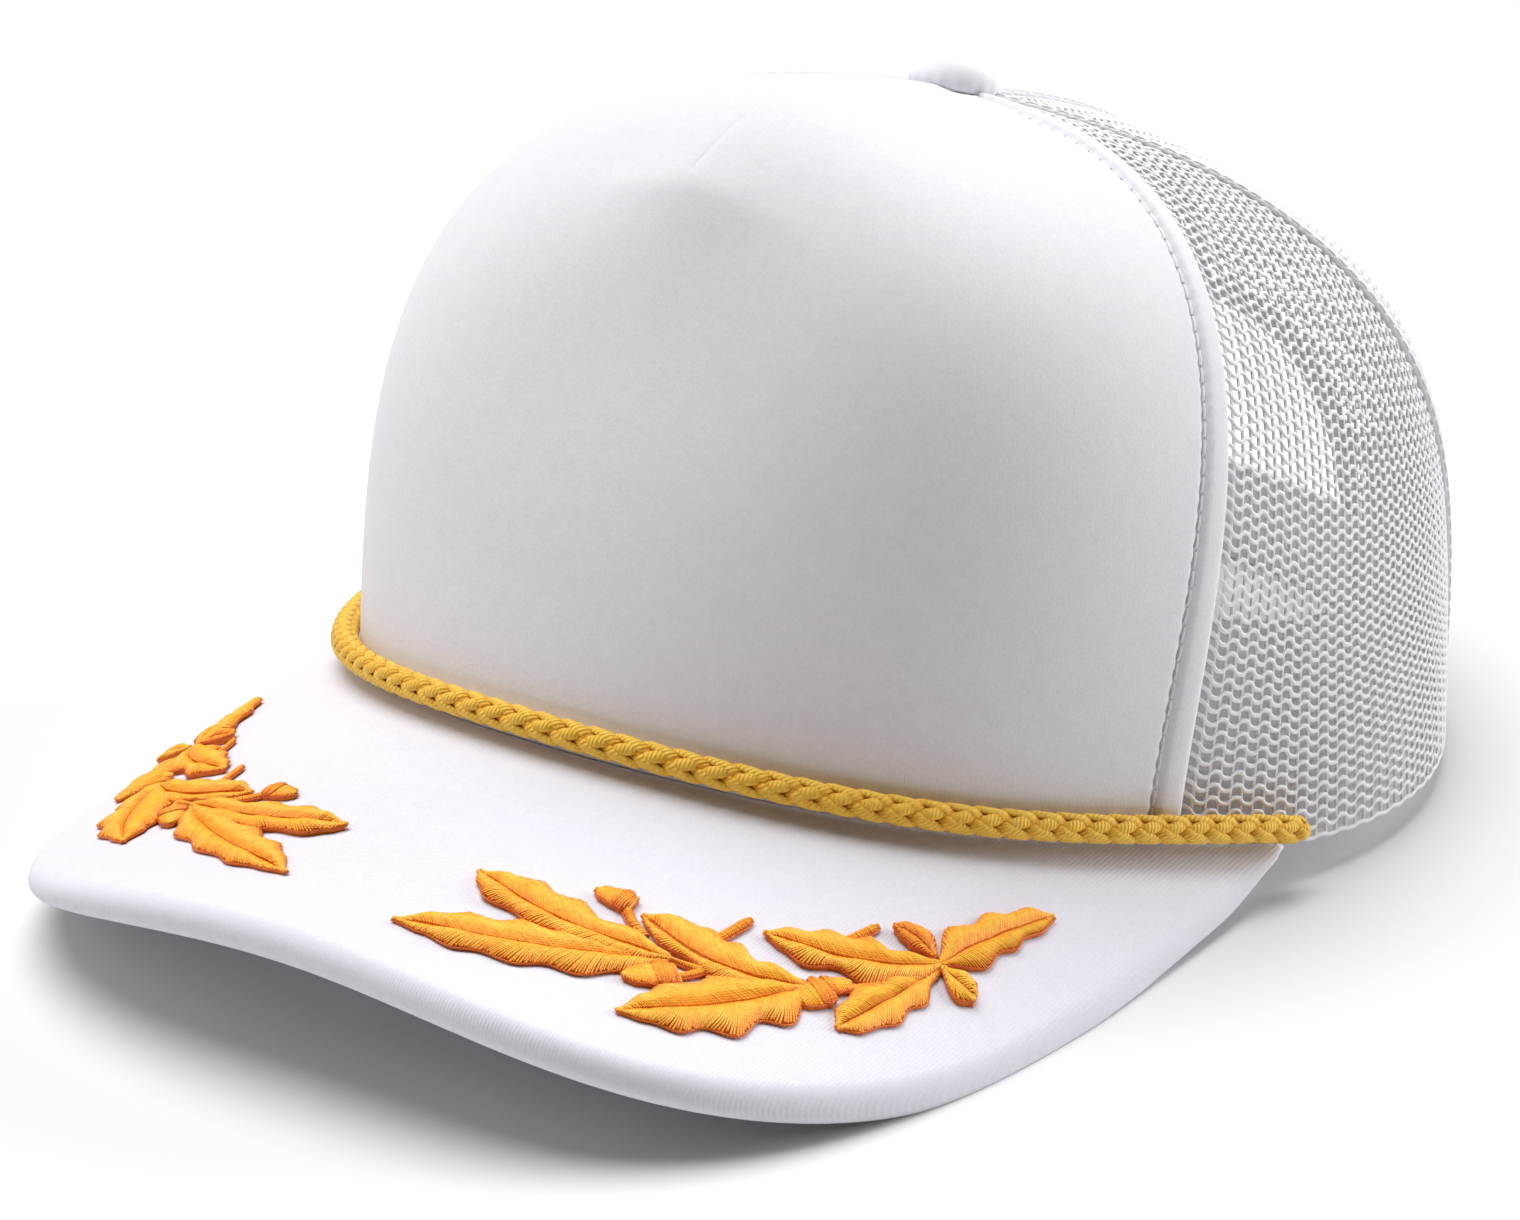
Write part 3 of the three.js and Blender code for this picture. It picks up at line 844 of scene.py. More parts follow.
@dataclass(frozen=True)
class BrushedCloth(Finish):
    """Polyester knit, brushed and bonded to foam: matt, faintly fleecy, with fine ribs along one way."""

    title: str = "brushed_polyester_cloth"
    light: str = "EDECF1"
    shade: str = "DFDEE4"
    roughness: float = 0.95
    sheen: float = 0.12
    fleece: float = 0.5
    rib: float = 0.45
    rib_depth: float = 0.004
    fleece_depth: float = 0.045
    mottle: float = 3.5
    mottle_share: float = 0.4
    tones: Pair = (0.35, 1.05)

    def draw(self, tree: Tree) -> Node:
        """Fleece speckle and ribs feed the bump; a broad mottle moves the colour a little.

        Args:
            tree: The material's nodes.

        Returns:
            The shader.
        """
        place = add_node(tree, "ShaderNodeTexCoord").outputs["Object"]
        fleece = add_node(tree, "ShaderNodeTexNoise", {
            "Vector": place, "Scale": 1 / (self.fleece * MM), "Detail": 3.0, "Roughness": 0.65})
        mottle = add_node(tree, "ShaderNodeTexNoise", {
            "Vector": place, "Scale": 1 / (self.mottle * MM), "Detail": 3.0, "Roughness": 0.6})
        lay = add_node(tree, "ShaderNodeAttribute", attribute_name="lay").outputs["Vector"]
        across = add_node(tree, "ShaderNodeSeparateXYZ", {"Vector": lay}).outputs["X"]
        phase = add_node(tree, "ShaderNodeMath", {
            0: across, 1: 2 * math.pi / (self.rib * MM)}, operation="MULTIPLY")
        ribs = add_node(tree, "ShaderNodeMath", {0: phase}, operation="SINE")
        blend = add_node(tree, "ShaderNodeMath", {
            0: mottle.outputs["Fac"], 1: self.mottle_share, 2: fleece.outputs["Fac"]},
            operation="MULTIPLY_ADD")
        level = add_node(tree, "ShaderNodeMapRange", {
            "Value": blend, "From Min": self.tones[0], "From Max": self.tones[1]})
        colour = add_node(tree, "ShaderNodeMix", {
            0: level, 6: linear(self.shade), 7: linear(self.light)}, data_type="RGBA")
        soft = add_node(tree, "ShaderNodeBump", {
            "Strength": 1.0, "Distance": self.fleece_depth * MM, "Height": fleece.outputs["Fac"]})
        ribbed = add_node(tree, "ShaderNodeBump", {
            "Strength": 1.0, "Distance": self.rib_depth * MM, "Height": ribs, "Normal": soft})
        return add_node(tree, "ShaderNodeBsdfPrincipled", {
            "Base Color": colour.outputs[2], "Roughness": self.roughness, "Sheen Weight": self.sheen,
            "Sheen Roughness": 0.5, "Specular IOR Level": 0.2, "Normal": ribbed})


@dataclass(frozen=True)
class Yarn(Finish):
    """Spun or plied polyester yarn: a soft gloss and fine plies that wind round it.

    The tone attribute goes from the dark of the crevices to the light of the crowns: painted shade at its
    low end and a painted highlight at its high end.
    """

    title: str = "white_polyester_net_yarn"
    # dark, middle and light: the tone ramp, from painted shade through the yarn's own colour to a painted
    # highlight.
    dark: str = "E6E5E9"
    middle: str = "EEEDF0"
    light: str = "F3F2F5"
    roughness: float = 0.6
    sheen: float = 0.1
    specular: float = 0.4
    ply: float = 0.45
    ply_turns: float = 3.0
    ply_depth: float = 0.02
    mottle: float = 1.2
    mottle_share: float = 0.3

    def draw(self, tree: Tree) -> Node:
        """Plies wind round the thread; the colour goes by tone with a fine mottle.

        Args:
            tree: The material's nodes.

        Returns:
            The shader.
        """
        place = add_node(tree, "ShaderNodeTexCoord").outputs["Object"]
        mottle = add_node(tree, "ShaderNodeTexNoise", {
            "Vector": place, "Scale": 1 / (self.mottle * MM), "Detail": 2.0})
        tone = add_node(tree, "ShaderNodeAttribute", attribute_name="tone").outputs["Fac"]
        along = add_node(tree, "ShaderNodeAttribute", attribute_name="along").outputs["Fac"]
        lie = add_node(tree, "ShaderNodeAttribute", attribute_name="lie").outputs["Vector"]
        side = add_node(tree, "ShaderNodeSeparateXYZ", {"Vector": lie}).outputs["Y"]
        wound = add_node(tree, "ShaderNodeMath", {0: side, 1: self.ply_turns}, operation="MULTIPLY")
        phase = add_node(tree, "ShaderNodeMath", {
            0: along, 1: 2 * math.pi / (self.ply * MM), 2: wound}, operation="MULTIPLY_ADD")
        plies = add_node(tree, "ShaderNodeMath", {0: phase}, operation="SINE")
        drift = add_node(tree, "ShaderNodeMapRange", {
            "Value": mottle.outputs["Fac"], "From Min": 0.3, "From Max": 0.7, "To Min": -self.mottle_share,
            "To Max": self.mottle_share})
        level = add_node(tree, "ShaderNodeMath", {0: tone, 1: drift}, operation="ADD")
        ramp = add_node(tree, "ShaderNodeValToRGB", {"Fac": level})
        bands = ramp.color_ramp.elements
        bands[0].color, bands[1].color = linear(self.dark), linear(self.light)
        bands.new(0.5).color = linear(self.middle)
        bump = add_node(tree, "ShaderNodeBump", {
            "Strength": 1.0, "Distance": self.ply_depth * MM, "Height": plies})
        return add_node(tree, "ShaderNodeBsdfPrincipled", {
            "Base Color": ramp, "Roughness": self.roughness, "Sheen Weight": self.sheen,
            "Specular IOR Level": self.specular, "Normal": bump})


@dataclass(frozen=True)
class BandTwill(Finish):
    """Cotton-polyester twill of the sweatband and binding: matt, with fine slanting ribs."""

    title: str = "cotton_twill_tape"
    light: str = "EFEDF1"
    shade: str = "DFDDE2"
    roughness: float = 0.9
    rib: float = 0.9
    slant: Triple = (0.5, 0.6, 0.8)
    depth: float = 0.05
    dust: float = 4.0
    sheen: float = 0.15

    def draw(self, tree: Tree) -> Node:
        """Slanting ribs in the object's own directions, broken up by a little noise.

        Args:
            tree: The material's nodes.

        Returns:
            The shader.
        """
        place = add_node(tree, "ShaderNodeTexCoord").outputs["Object"]
        slanted = add_node(tree, "ShaderNodeMapping", {"Vector": place, "Rotation": self.slant})
        ribs = add_node(tree, "ShaderNodeTexWave", {
            "Vector": slanted, "Scale": WAVE_BAND / (self.rib * MM), "Distortion": 0.6, "Detail": 1.0},
            wave_type="BANDS", bands_direction="Z")
        dust = add_node(tree, "ShaderNodeTexNoise", {
            "Vector": place, "Scale": 1 / (self.dust * MM), "Detail": 3.0})
        colour = add_node(tree, "ShaderNodeMix", {
            0: dust.outputs["Fac"], 6: linear(self.shade), 7: linear(self.light)}, data_type="RGBA")
        bump = add_node(tree, "ShaderNodeBump", {
            "Strength": 1.0, "Distance": self.depth * MM, "Height": ribs.outputs["Fac"]})
        return add_node(tree, "ShaderNodeBsdfPrincipled", {
            "Base Color": colour.outputs[2], "Roughness": self.roughness, "Sheen Weight": self.sheen,
            "Specular IOR Level": 0.25, "Normal": bump})


@dataclass(frozen=True)
class StrapPlastic(Finish):
    """Polypropylene, injection moulded: a soft gloss over a very fine moulding texture."""

    title: str = "moulded_polypropylene"
    light: str = "F2F2F0"
    shade: str = "E6E6E3"
    roughness: float = 0.42
    smoother: float = 0.06
    rougher: float = 0.08
    grain: float = 0.6
    grain_depth: float = 0.02
    cloud: float = 14.0

    def draw(self, tree: Tree) -> Node:
        """Fine grain in the bump and in the roughness.

        Args:
            tree: The material's nodes.

        Returns:
            The shader.
        """
        place = add_node(tree, "ShaderNodeTexCoord").outputs["Object"]
        grain = add_node(tree, "ShaderNodeTexNoise", {
            "Vector": place, "Scale": 1 / (self.grain * MM), "Detail": 2.0})
        cloud = add_node(tree, "ShaderNodeTexNoise", {
            "Vector": place, "Scale": 1 / (self.cloud * MM), "Detail": 2.0})
        colour = add_node(tree, "ShaderNodeMix", {
            0: cloud.outputs["Fac"], 6: linear(self.shade), 7: linear(self.light)}, data_type="RGBA")
        rough = add_node(tree, "ShaderNodeMapRange", {
            "Value": grain.outputs["Fac"], "To Min": self.roughness - self.smoother,
            "To Max": self.roughness + self.rougher})
        bump = add_node(tree, "ShaderNodeBump", {
            "Strength": 0.4, "Distance": self.grain_depth * MM, "Height": grain.outputs["Fac"]})
        return add_node(tree, "ShaderNodeBsdfPrincipled", {
            "Base Color": colour.outputs[2], "Roughness": rough, "IOR": 1.49, "Normal": bump})


FOAM_CLOTH = BrushedCloth()
VISOR_CLOTH = BrushedCloth(title="brushed_polyester_cloth_on_visor", light="EBE9F1", shade="DEDCE5",
                           rib=0.5, rib_depth=0.012, fleece_depth=0.025)
# The button's cloth is paler than the front's: painted light against the shade on the button's front.
BUTTON_CLOTH_PAINTED_LIGHTER = BrushedCloth(title="brushed_polyester_cloth_on_button", light="FBFAFE", shade="F2F1F7")
NET_YARN = Yarn()
SEWING_THREAD = Yarn(title="white_sewing_thread", ply=0.5, ply_depth=0.03)
# Their ramps run from painted shade (dark) through the thread's own colour (middle) to a painted highlight
# (light).
ROPE_YARN = Yarn(title="gold_polyester_braid", dark="A66206", middle="E8A91E", light="FFD452",
                 specular=0.35, ply=0.7, ply_turns=5.0, ply_depth=0.06, mottle=0.9, mottle_share=0.12)
GOLD_THREAD = Yarn(title="gold_rayon_embroidery_thread", dark="DC620C", middle="FF9E0C", light="FFCF3A",
                   roughness=0.42, sheen=0.04, ply=0.5, mottle=0.8, mottle_share=0.14)
BAND_TWILL = BandTwill()
STRAP_PLASTIC = StrapPlastic()


# ---- sub-assemblies


class SubAssembly:
    """Common dressing of a sub-assembly's pieces."""

    def dress(self, piece: Piece, slot: Slot, nodes: tuple[str, ...] = (),
              finish: Finish | None = None) -> Piece:
        """Gives a piece its finish and body, and hides the CAD nodes that it stands for.

        Args:
            piece: The finished object.
            slot: Not used.
            nodes: CAD nodes that the piece replaces.
            finish: The finish, where the piece has none yet.

        Returns:
            The same object.
        """
        if finish is not None:
            piece.data.materials.clear()
            piece.data.materials.append(finish.material())
        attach(piece, BODY)
        if nodes:
            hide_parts(*nodes)
        piece.data.calc_loop_triangles()
        log.info("%s: %d triangles", piece.name, len(piece.data.loop_triangles))
        return piece

    def sew(self, name: str, slot: Slot, lines: Lines, pitch: float,
            length: float, thread: float = 0.2, arch: float = 0.25) -> Piece:
        """Makes rows of stitches.

        Args:
            name: The piece's name.
            slot: The record's material slot.
            lines: Points and outward directions of each row.
            pitch: Millimetres from stitch to stitch.
            length: A stitch's length in millimetres.
            thread: The thread's radius in millimetres.
            arch: How high a stitch arches, in millimetres.

        Returns:
            The dressed stitches.
        """
        paths = Paths()
        for points, outward in lines:
            paths.add(points, outward, thread)
        piece = paths.to_object(name)
        STITCHES.run(piece, SEWING_THREAD.material(), Pitch=pitch * MM, Length=length * MM,
                     Thread_Radius=thread * MM, Arch=arch * MM)
        return self.dress(piece, slot)


@dataclass
class FoamFront(SubAssembly):
    """The foam-backed front panel, with its dart, its folded side bands and their stitching."""

    rows: int = 210
    middle_columns: int = 40
    band_offsets: tuple[float, ...] = (0, .12, .35, .7, 1.1, 1.6, 2.4, 3.3, 4.2, 4.8, 5.2, 5.5, 5.75, 6.0,
                                       6.25, 6.5, 6.8, 7.2, 7.8, 8.6, 9.6)
    dart_offsets: tuple[float, ...] = (0, .2, .4, .65, 1.0, 1.5, 2.2, 3.2)
    full_half_arc: float = 45.0
    stitch_line: float = 6.0
    groove_deep: float = 0.75
    groove_half: float = 0.6
    pucker_deep: float = 0.16
    pucker_half: float = 1.6
    stitch_pitch: float = 2.8
    stitch_length: float = 2.3
    stitch_sink: float = 0.45
    stitch_ends: Pair = (0.015, 0.93)
    stitch_samples: int = 260
    band_proud: float = 0.45
    band_rise: float = 2.2
    band_end: float = 4.2
    band_fade: float = 2.0
    roll_radius: float = 1.3
    roll_deep: float = 1.5
    dart_deep: float = 0.22
    dart_half: float = 0.6
    dart_start: float = 0.03
    dart_end: float = 0.9
    dart_fade: float = 0.06
    mean_radius: float = 95.0

    def half_arc(self, shares: Array) -> Array:
        """The panel's width from its middle to its edge at each share.

        Args:
            shares: Shares of the way up.

        Returns:
            Widths in millimetres.
        """
        edge = CROWN.seam_angle(FRONT_SEAM, shares)
        line = CROWN.skin(edge[:, None] * steps(self.middle_columns)[None, :], shares[:, None])
        return lengths_along(line, axis=1)[:, -1]

    def columns(self, shares: Array) -> tuple[Array, Array, Array]:
        """Column angles of the wearer's left half, middle first.

        Args:
            shares: The rows' shares of the way up.

        Returns:
            Angles, distances from the edge, and distances from the middle, each rows by columns.
        """
        bands, darts = np.array(self.band_offsets[::-1])[None, :], np.array(self.dart_offsets)[None, :]
        scale = np.minimum(1, self.half_arc(shares) / self.full_half_arc)[:, None]
        edge = CROWN.seam_angle(FRONT_SEAM, shares, -CROWN.gap / 2)[:, None]
        at_edge = CROWN.skin(edge[:, 0], shares)
        at_middle = CROWN.skin(np.zeros_like(shares), shares)
        edge_radius = np.hypot(at_edge[:, 0], at_edge[:, 1])[:, None]
        middle_radius = np.hypot(at_middle[:, 0], at_middle[:, 1])[:, None]
        band = edge - np.degrees(bands * scale / edge_radius)
        dart = np.degrees(darts * scale / middle_radius)
        share = steps(self.middle_columns + 2)[1:-1][None, :]
        between = dart[:, -1:] + (band[:, :1] - dart[:, -1:]) * share
        angles = np.concatenate([dart, between, band], axis=1)
        far = 1e3
        from_edge, from_middle = np.full_like(angles, far), np.full_like(angles, far)
        from_edge[:, -band.shape[1]:] = bands
        from_middle[:, :dart.shape[1]] = darts
        return angles, from_edge, from_middle

    def relief(self, shares: Array, from_edge: Array, from_middle: Array,
               lengths: Array) -> Array:
        """How far the cloth stands proud of the plain skin, in millimetres.

        Args:
            shares: The rows' shares of the way up.
            from_edge: Distances from the edge.
            from_middle: Distances from the middle.
            lengths: Lengths up the panel.

        Returns:
            Heights, rows by columns.
        """
        groove = -self.groove_deep * bell(from_edge - self.stitch_line, self.groove_half)
        wave = np.cos(2 * math.pi * lengths / self.stitch_pitch)
        pucker = self.pucker_deep * wave * bell(from_edge - self.stitch_line, self.pucker_half)
        band = self.band_proud * smooth_step(from_edge / self.band_rise)
        band = band * (1 - smooth_step((from_edge - self.band_end) / self.band_fade))
        fall = np.clip(1 - from_edge / self.roll_radius, 0, 1)
        roll = -self.roll_deep * (1 - np.sqrt(1 - fall ** 2))
        above = smooth_step((shares - CROWN.peak_share) / self.dart_start)[:, None]
        near_top = 1 - smooth_step((shares - self.dart_end) / self.dart_fade)[:, None]
        dart = -self.dart_deep * np.exp(-from_middle / self.dart_half) * above * near_top
        return groove + pucker + band + roll + dart

    def build(self) -> list[Piece]:
        """Makes the panel and its two rows of stitches.

        Returns:
            The panel and the stitches.
        """
        shares = steps(self.rows, 0, CROWN.visible_top)
        angles, from_edge, from_middle = (
            np.concatenate([sign * half[:, :0:-1], half], axis=1)
            for half, sign in zip(self.columns(shares), (-1, 1, 1)))
        lengths = lengths_along(CROWN.skin(angles, shares[:, None]))
        proud = self.relief(shares, from_edge, from_middle, lengths)
        outer = CROWN.point(angles, shares[:, None], -proud)
        inner = CROWN.point(angles, shares[:, None], CROWN.foam_wall)
        across = np.radians(angles) * self.mean_radius
        panel = shell_object("foam_front", outer, inner, np.stack([across, lengths], axis=-1))
        self.dress(panel, Slot.FOAM_CLOTH, ("crown_front",), FOAM_CLOTH)
        return [panel, self.stitches()]

    def stitches(self) -> Piece:
        """The two rows of stitches that hold the folded bands.

        Returns:
            The dressed piece.
        """
        shares = steps(self.stitch_samples, *self.stitch_ends)
        scale = np.minimum(1, self.half_arc(shares) / self.full_half_arc)
        angle = CROWN.seam_angle(FRONT_SEAM, shares, -self.stitch_line * scale)
        lines = [(CROWN.point(turned, shares, self.stitch_sink), CROWN.normal(turned, shares))
                 for turned in (side.value * angle for side in Side)]
        return self.sew("front_stitches", Slot.FOAM_CLOTH, lines, self.stitch_pitch, self.stitch_length)


# One row of a net panel, as what is known at each column, and its wave's period.
Row = tuple[Table, float]


@dataclass
class NetPanel(SubAssembly):
    """One panel of knitted net: wavy rows tied to each other by short links."""

    node: str
    start: Seam
    end: Seam
    side: Side
    from_start: bool = True
    has_opening: bool = False
    row_pitch: float = 2.1
    period: float = 4.2
    rim_period: float = 4.9
    wave: float = 0.5
    row_girth: float = 0.4
    link_girth: float = 0.34
    depth: float = 0.55
    tilt: float = 0.22
    tilt_span: float = 60.0
    edge_sink: float = 0.9
    edge_sink_span: float = 1.1
    edge_lift: float = 0.7
    edge_lift_span: float = 0.9
    edge_offset: float = 0.15
    overlap: float = 0.9
    highest: float = 0.975
    sharpness: float = 2.2
    first_row: float = 0.35
    first_row_wave: float = 0.3
    rim_span: float = 45.0
    first_crest: float = 0.4
    link_sink: float = 0.12
    # Rows take a light tone and the deeper links a dark one: painted light on the rows, painted shade on
    # the links.
    row_painted_light: float = 0.75
    link_painted_shade: float = 0.35
    opening: Pair = (39.5, 49.5)
    table_rows: int = 220
    table_columns: int = 90
    fewest_columns: int = 4
    per_period: int = 8
    sides: int = 5
    flatness: float = 0.75

    def lattice(self) -> Table:
        """A fine table of the panel: angles, lengths across and up, by share and column.

        Returns:
            Each quantity by its name.
        """
        shares, columns = steps(self.table_rows, 0, CROWN.net_top), steps(self.table_columns)
        first = CROWN.seam_angle(self.start, shares, self.edge_offset if self.from_start else self.overlap)
        last = CROWN.seam_angle(self.end, shares, -self.overlap)
        angles = first[:, None] + (last - first)[:, None] * columns[None, :]
        grid = CROWN.skin(angles, shares[:, None])
        across, up = lengths_along(grid, axis=1), lengths_along(grid)
        if not self.from_start:
            across = across[:, -1:] - across
        tilt = self.tilt * smooth_step(up / self.tilt_span)
        level = up + tilt * across if self.from_start else up + tilt * (across.max() - across)
        return {"shares": shares, "columns": columns, "angles": angles, "across": across, "up": up,
                "level": level}

    def row_line(self, table: Table, level: float) -> Table | None:
        """One row of the net, as share, length across and slope at each column that it reaches.

        Args:
            table: The fine table.
            level: The row's height along the cloth.

        Returns:
            Each quantity by its name, or nothing where the row is too short.
        """
        shares, columns = table["shares"], table["columns"]
        found = []
        for number in range(len(columns)):
            heights = table["level"][:, number]
            if heights[0] <= level <= heights[-1]:
                share = np.interp(level, heights, shares)
                found.append((number, share, np.interp(share, shares, table["across"][:, number]),
                              np.interp(share, shares, np.gradient(table["up"][:, number], shares))))
        if len(found) < self.fewest_columns:
            return None
        number, share, across, slope = (np.array(part) for part in zip(*found))
        return {"column": columns[number.astype(int)], "share": share, "across": across, "slope": slope}

    def spots(self, table: Table, row: Table, across: Array,
              lift: Array, sunk: Array | float) -> tuple[Array, Array]:
        """Points and outward directions on a row, lifted along the cloth and sunk below the skin.

        Args:
            table: The fine table.
            row: The row.
            across: Lengths across the panel.
            lift: How far up each lies from the row.
            sunk: How much deeper they lie.

        Returns:
            Points and outward directions.
        """
        order = np.argsort(row["across"])
        reach = row["across"][order]
        share = np.interp(across, reach, row["share"][order])
        share = np.clip(share + lift / np.interp(across, reach, row["slope"][order]), 0, self.highest)
        column = np.interp(across, reach, row["column"][order])
        first = np.interp(share, table["shares"], table["angles"][:, 0])
        last = np.interp(share, table["shares"], table["angles"][:, -1])
        angle = first + (last - first) * column
        depth = self.depth + sunk
        if self.from_start:
            depth = depth + self.edge_sink * np.exp(-across / self.edge_sink_span)
        turned = self.side.value * angle
        return CROWN.point(turned, share, depth), CROWN.normal(turned, share)

    def wave_lift(self, phase: Array) -> Array:
        """The row's wave: flat crests and troughs with steep flanks."""
        return self.wave * np.tanh(self.sharpness * np.cos(phase)) / np.tanh(self.sharpness)

    def keep(self, points: Array) -> Array:
        """Which points stay outside the half-moon opening.

        Args:
            points: Points in the cap's frame.

        Returns:
            True for each that stays.
        """
        if not self.has_opening:
            return np.ones(len(points), bool)
        half_width, height = self.opening
        inside = (points[:, 0] / half_width) ** 2 + (np.maximum(points[:, 2], 0) / height) ** 2 < 1
        return ~((points[:, 1] > 0) & inside)

    def add_runs(self, paths: Paths, points: Array, outward: Array) -> None:
        """Adds the stretches of a row that stay outside the opening.

        Args:
            paths: The panel's paths.
            points: The row's points.
            outward: Their outward directions.
        """
        kept = self.keep(points)
        breaks = np.flatnonzero(np.diff(kept.astype(int))) + 1
        for part in np.split(np.arange(len(points)), breaks):
            if len(part) > 1 and kept[part[0]]:
                paths.add(points[part], outward[part], self.row_girth, self.row_painted_light)

    def add_links(self, paths: Paths, table: Table, row: Row, above: Row) -> None:
        """Ties one row to the next where the waves come near each other.

        Args:
            paths: The panel's paths.
            table: The panel's fine table.
            row: A row and its wave's period.
            above: The next row and its period.
        """
        low = max(line["across"].min() for line, _ in (row, above))
        high = min(line["across"].max() for line, _ in (row, above))
        knots = np.arange(int(2 * low / row[1]), int(2 * high / row[1]) + 2)
        places = [self.first_crest + (knots + 0.5) * period / 2 for _, period in (row, above)]
        tied = np.all([(place > low) & (place < high) for place in places], axis=0)
        if not tied.any():
            return
        (lower, lower_out), (upper, upper_out) = (
            self.spots(table, line, place[tied], np.zeros(tied.sum()), self.link_sink)
            for (line, _), place in zip((row, above), places))
        for number in np.flatnonzero(self.keep(lower) & self.keep(upper)):
            paths.add(np.stack([lower[number], upper[number]]),
                      np.stack([lower_out[number], upper_out[number]]), self.link_girth, self.link_painted_shade)

    def build(self) -> Piece:
        """Makes the panel's rows and links, and turns them into threads.

        Returns:
            The panel.
        """
        table = self.lattice()
        paths = Paths()
        rows: list[Row] = []
        for number in range(int(table["level"].max() / self.row_pitch) + 1):
            level = self.first_row + number * self.row_pitch
            row = self.row_line(table, level)
            if row is None:
                continue
            near_rim = float(1 - smooth_step(level / self.rim_span))
            period = self.period + (self.rim_period - self.period) * near_rim
            rows.append((row, period))
            low, high = row["across"].min(), row["across"].max()
            count = max(int((high - low) / period * self.per_period), 2)
            across = steps(count + 1, low, high)
            lift = self.wave_lift(2 * math.pi * (across - self.first_crest) / period)
            if self.from_start:
                lift = lift + self.edge_lift * np.exp(-across / self.edge_lift_span)
            if number == 0:
                lift = lift * self.first_row_wave
            self.add_runs(paths, *self.spots(table, row, across, lift, 0.0))
        for row, above in zip(rows[:-1], rows[1:]):
            self.add_links(paths, table, row, above)
        piece = paths.to_object(f"net_{self.node.removeprefix('mesh_')}")
        THREADS.run(piece, NET_YARN.material(), Sides=self.sides, Flatness=self.flatness)
        return self.dress(piece, Slot.NET, (self.node,))


@dataclass
class SeamWelts(SubAssembly):
    """The folded welts where net panels meet, with a row of stitches down each side."""

    half_width: float = 1.75
    half_thick: float = 0.9
    sunk: float = 0.3
    stitch_inset: float = 0.55
    stitch_proud: float = 0.35
    stitch_ends: Pair = (0.01, 0.93)
    back_rise: float = 52.3
    stations: int = 120
    stitch_samples: int = 160
    sides: int = 14

    def build(self) -> list[Piece]:
        """Makes the three welts and their stitches.

        Returns:
            The welts, and the stitches as one piece.
        """
        foot = float(CROWN.share_at_rise(np.array(180.0), self.back_rise))
        welts = (("left", SIDE_SEAM, 1, 0.0), ("right", SIDE_SEAM, -1, 0.0), ("back", BACK_SEAM, 1, foot))
        lines = [line for _, *course in welts for line in self.stitch_lines(*course)]
        return [*(self.welt(*welt) for welt in welts), self.sew(
            "welt_stitches", Slot.NET, lines, pitch=2.6, length=2.0, thread=0.15, arch=0.2)]

    def welt(self, word: str, seam: Seam, sign: int, foot: float) -> Piece:
        """One welt from its foot to the button.

        Args:
            word: Where it is, as its node says.
            seam: The seam that it covers.
            sign: 1 on the wearer's left, -1 on the right.
            foot: The share at which it starts.

        Returns:
            The welt.
        """
        shares = steps(self.stations, foot, CROWN.net_top)
        angle = sign * CROWN.seam_angle(seam, shares)
        paths = Paths()
        paths.add(CROWN.point(angle, shares, self.sunk), CROWN.normal(angle, shares), self.half_width)
        piece = paths.to_object(f"welt_{word}")
        THREADS.run(piece, BAND_TWILL.material(), Sides=self.sides,
                    Flatness=self.half_thick / self.half_width)
        return self.dress(piece, Slot.NET, (f"seam_welt_{word}",))

    def stitch_lines(self, seam: Seam, sign: int, foot: float) -> Lines:
        """Where the stitches of one welt run, along both its sides.

        Args:
            seam: The seam that the welt covers.
            sign: 1 on the wearer's left, -1 on the right.
            foot: The share at which it starts.

        Returns:
            Points and outward directions of both rows.
        """
        shares = steps(self.stitch_samples, max(foot, self.stitch_ends[0]), self.stitch_ends[1])
        offset = self.half_width - self.stitch_inset
        angles = [sign * CROWN.seam_angle(seam, shares, way * offset) for way in (-1, 1)]
        return [(CROWN.point(angle, shares, -self.stitch_proud), CROWN.normal(angle, shares))
                for angle in angles]


@dataclass
class Button(SubAssembly):
    """The covered button where the panels meet."""

    radius: float = 7.6
    height: float = 6.6
    flange: float = 1.3
    lean: float = -14.0
    lift: float = -0.75
    pleats: int = 18
    pleat_deep: float = 0.1
    pleat_fade: float = 0.9
    squareness: float = 0.95
    highest: float = 88.0
    around: int = 96
    climbs: int = 26
    under: tuple[Pair, ...] = ((2.4, 0.0), (1.0, 0.0), (0.35, 0.25))

    def build(self) -> Piece:
        """Makes the dome with the cloth's small pleats at its edge.

        Returns:
            The button.
        """
        turns = np.radians(steps(self.around + 1, 0, 360)[:-1])
        climb = np.radians(steps(self.climbs, 0, self.highest))
        reach = self.radius * np.cos(climb) ** self.squareness
        rise = self.flange + (self.height - self.flange) * np.sin(climb)
        under = [(self.radius - inset, low) for inset, low in self.under]
        profile = np.array(under + list(zip(reach, rise)))[..., None]
        fade = np.exp(-np.maximum(profile[:, 1] - self.flange, 0) / self.pleat_fade)
        ring = profile[:, 0] + self.pleat_deep * fade * np.cos(self.pleats * turns)
        up = np.broadcast_to(profile[:, 1], ring.shape)
        points = np.stack([ring * np.cos(turns), ring * np.sin(turns), up], axis=-1)
        seat = [0, 0, CROWN.height + self.lift]
        piece = ring_object("button", tilted(points, math.radians(self.lean)) + seat)
        store_vectors(piece, "lay", points.reshape(-1, 3) * [MM, 0, 0])
        return self.dress(piece, Slot.FOAM_CLOTH, ("top_button",), BUTTON_CLOTH_PAINTED_LIGHTER)


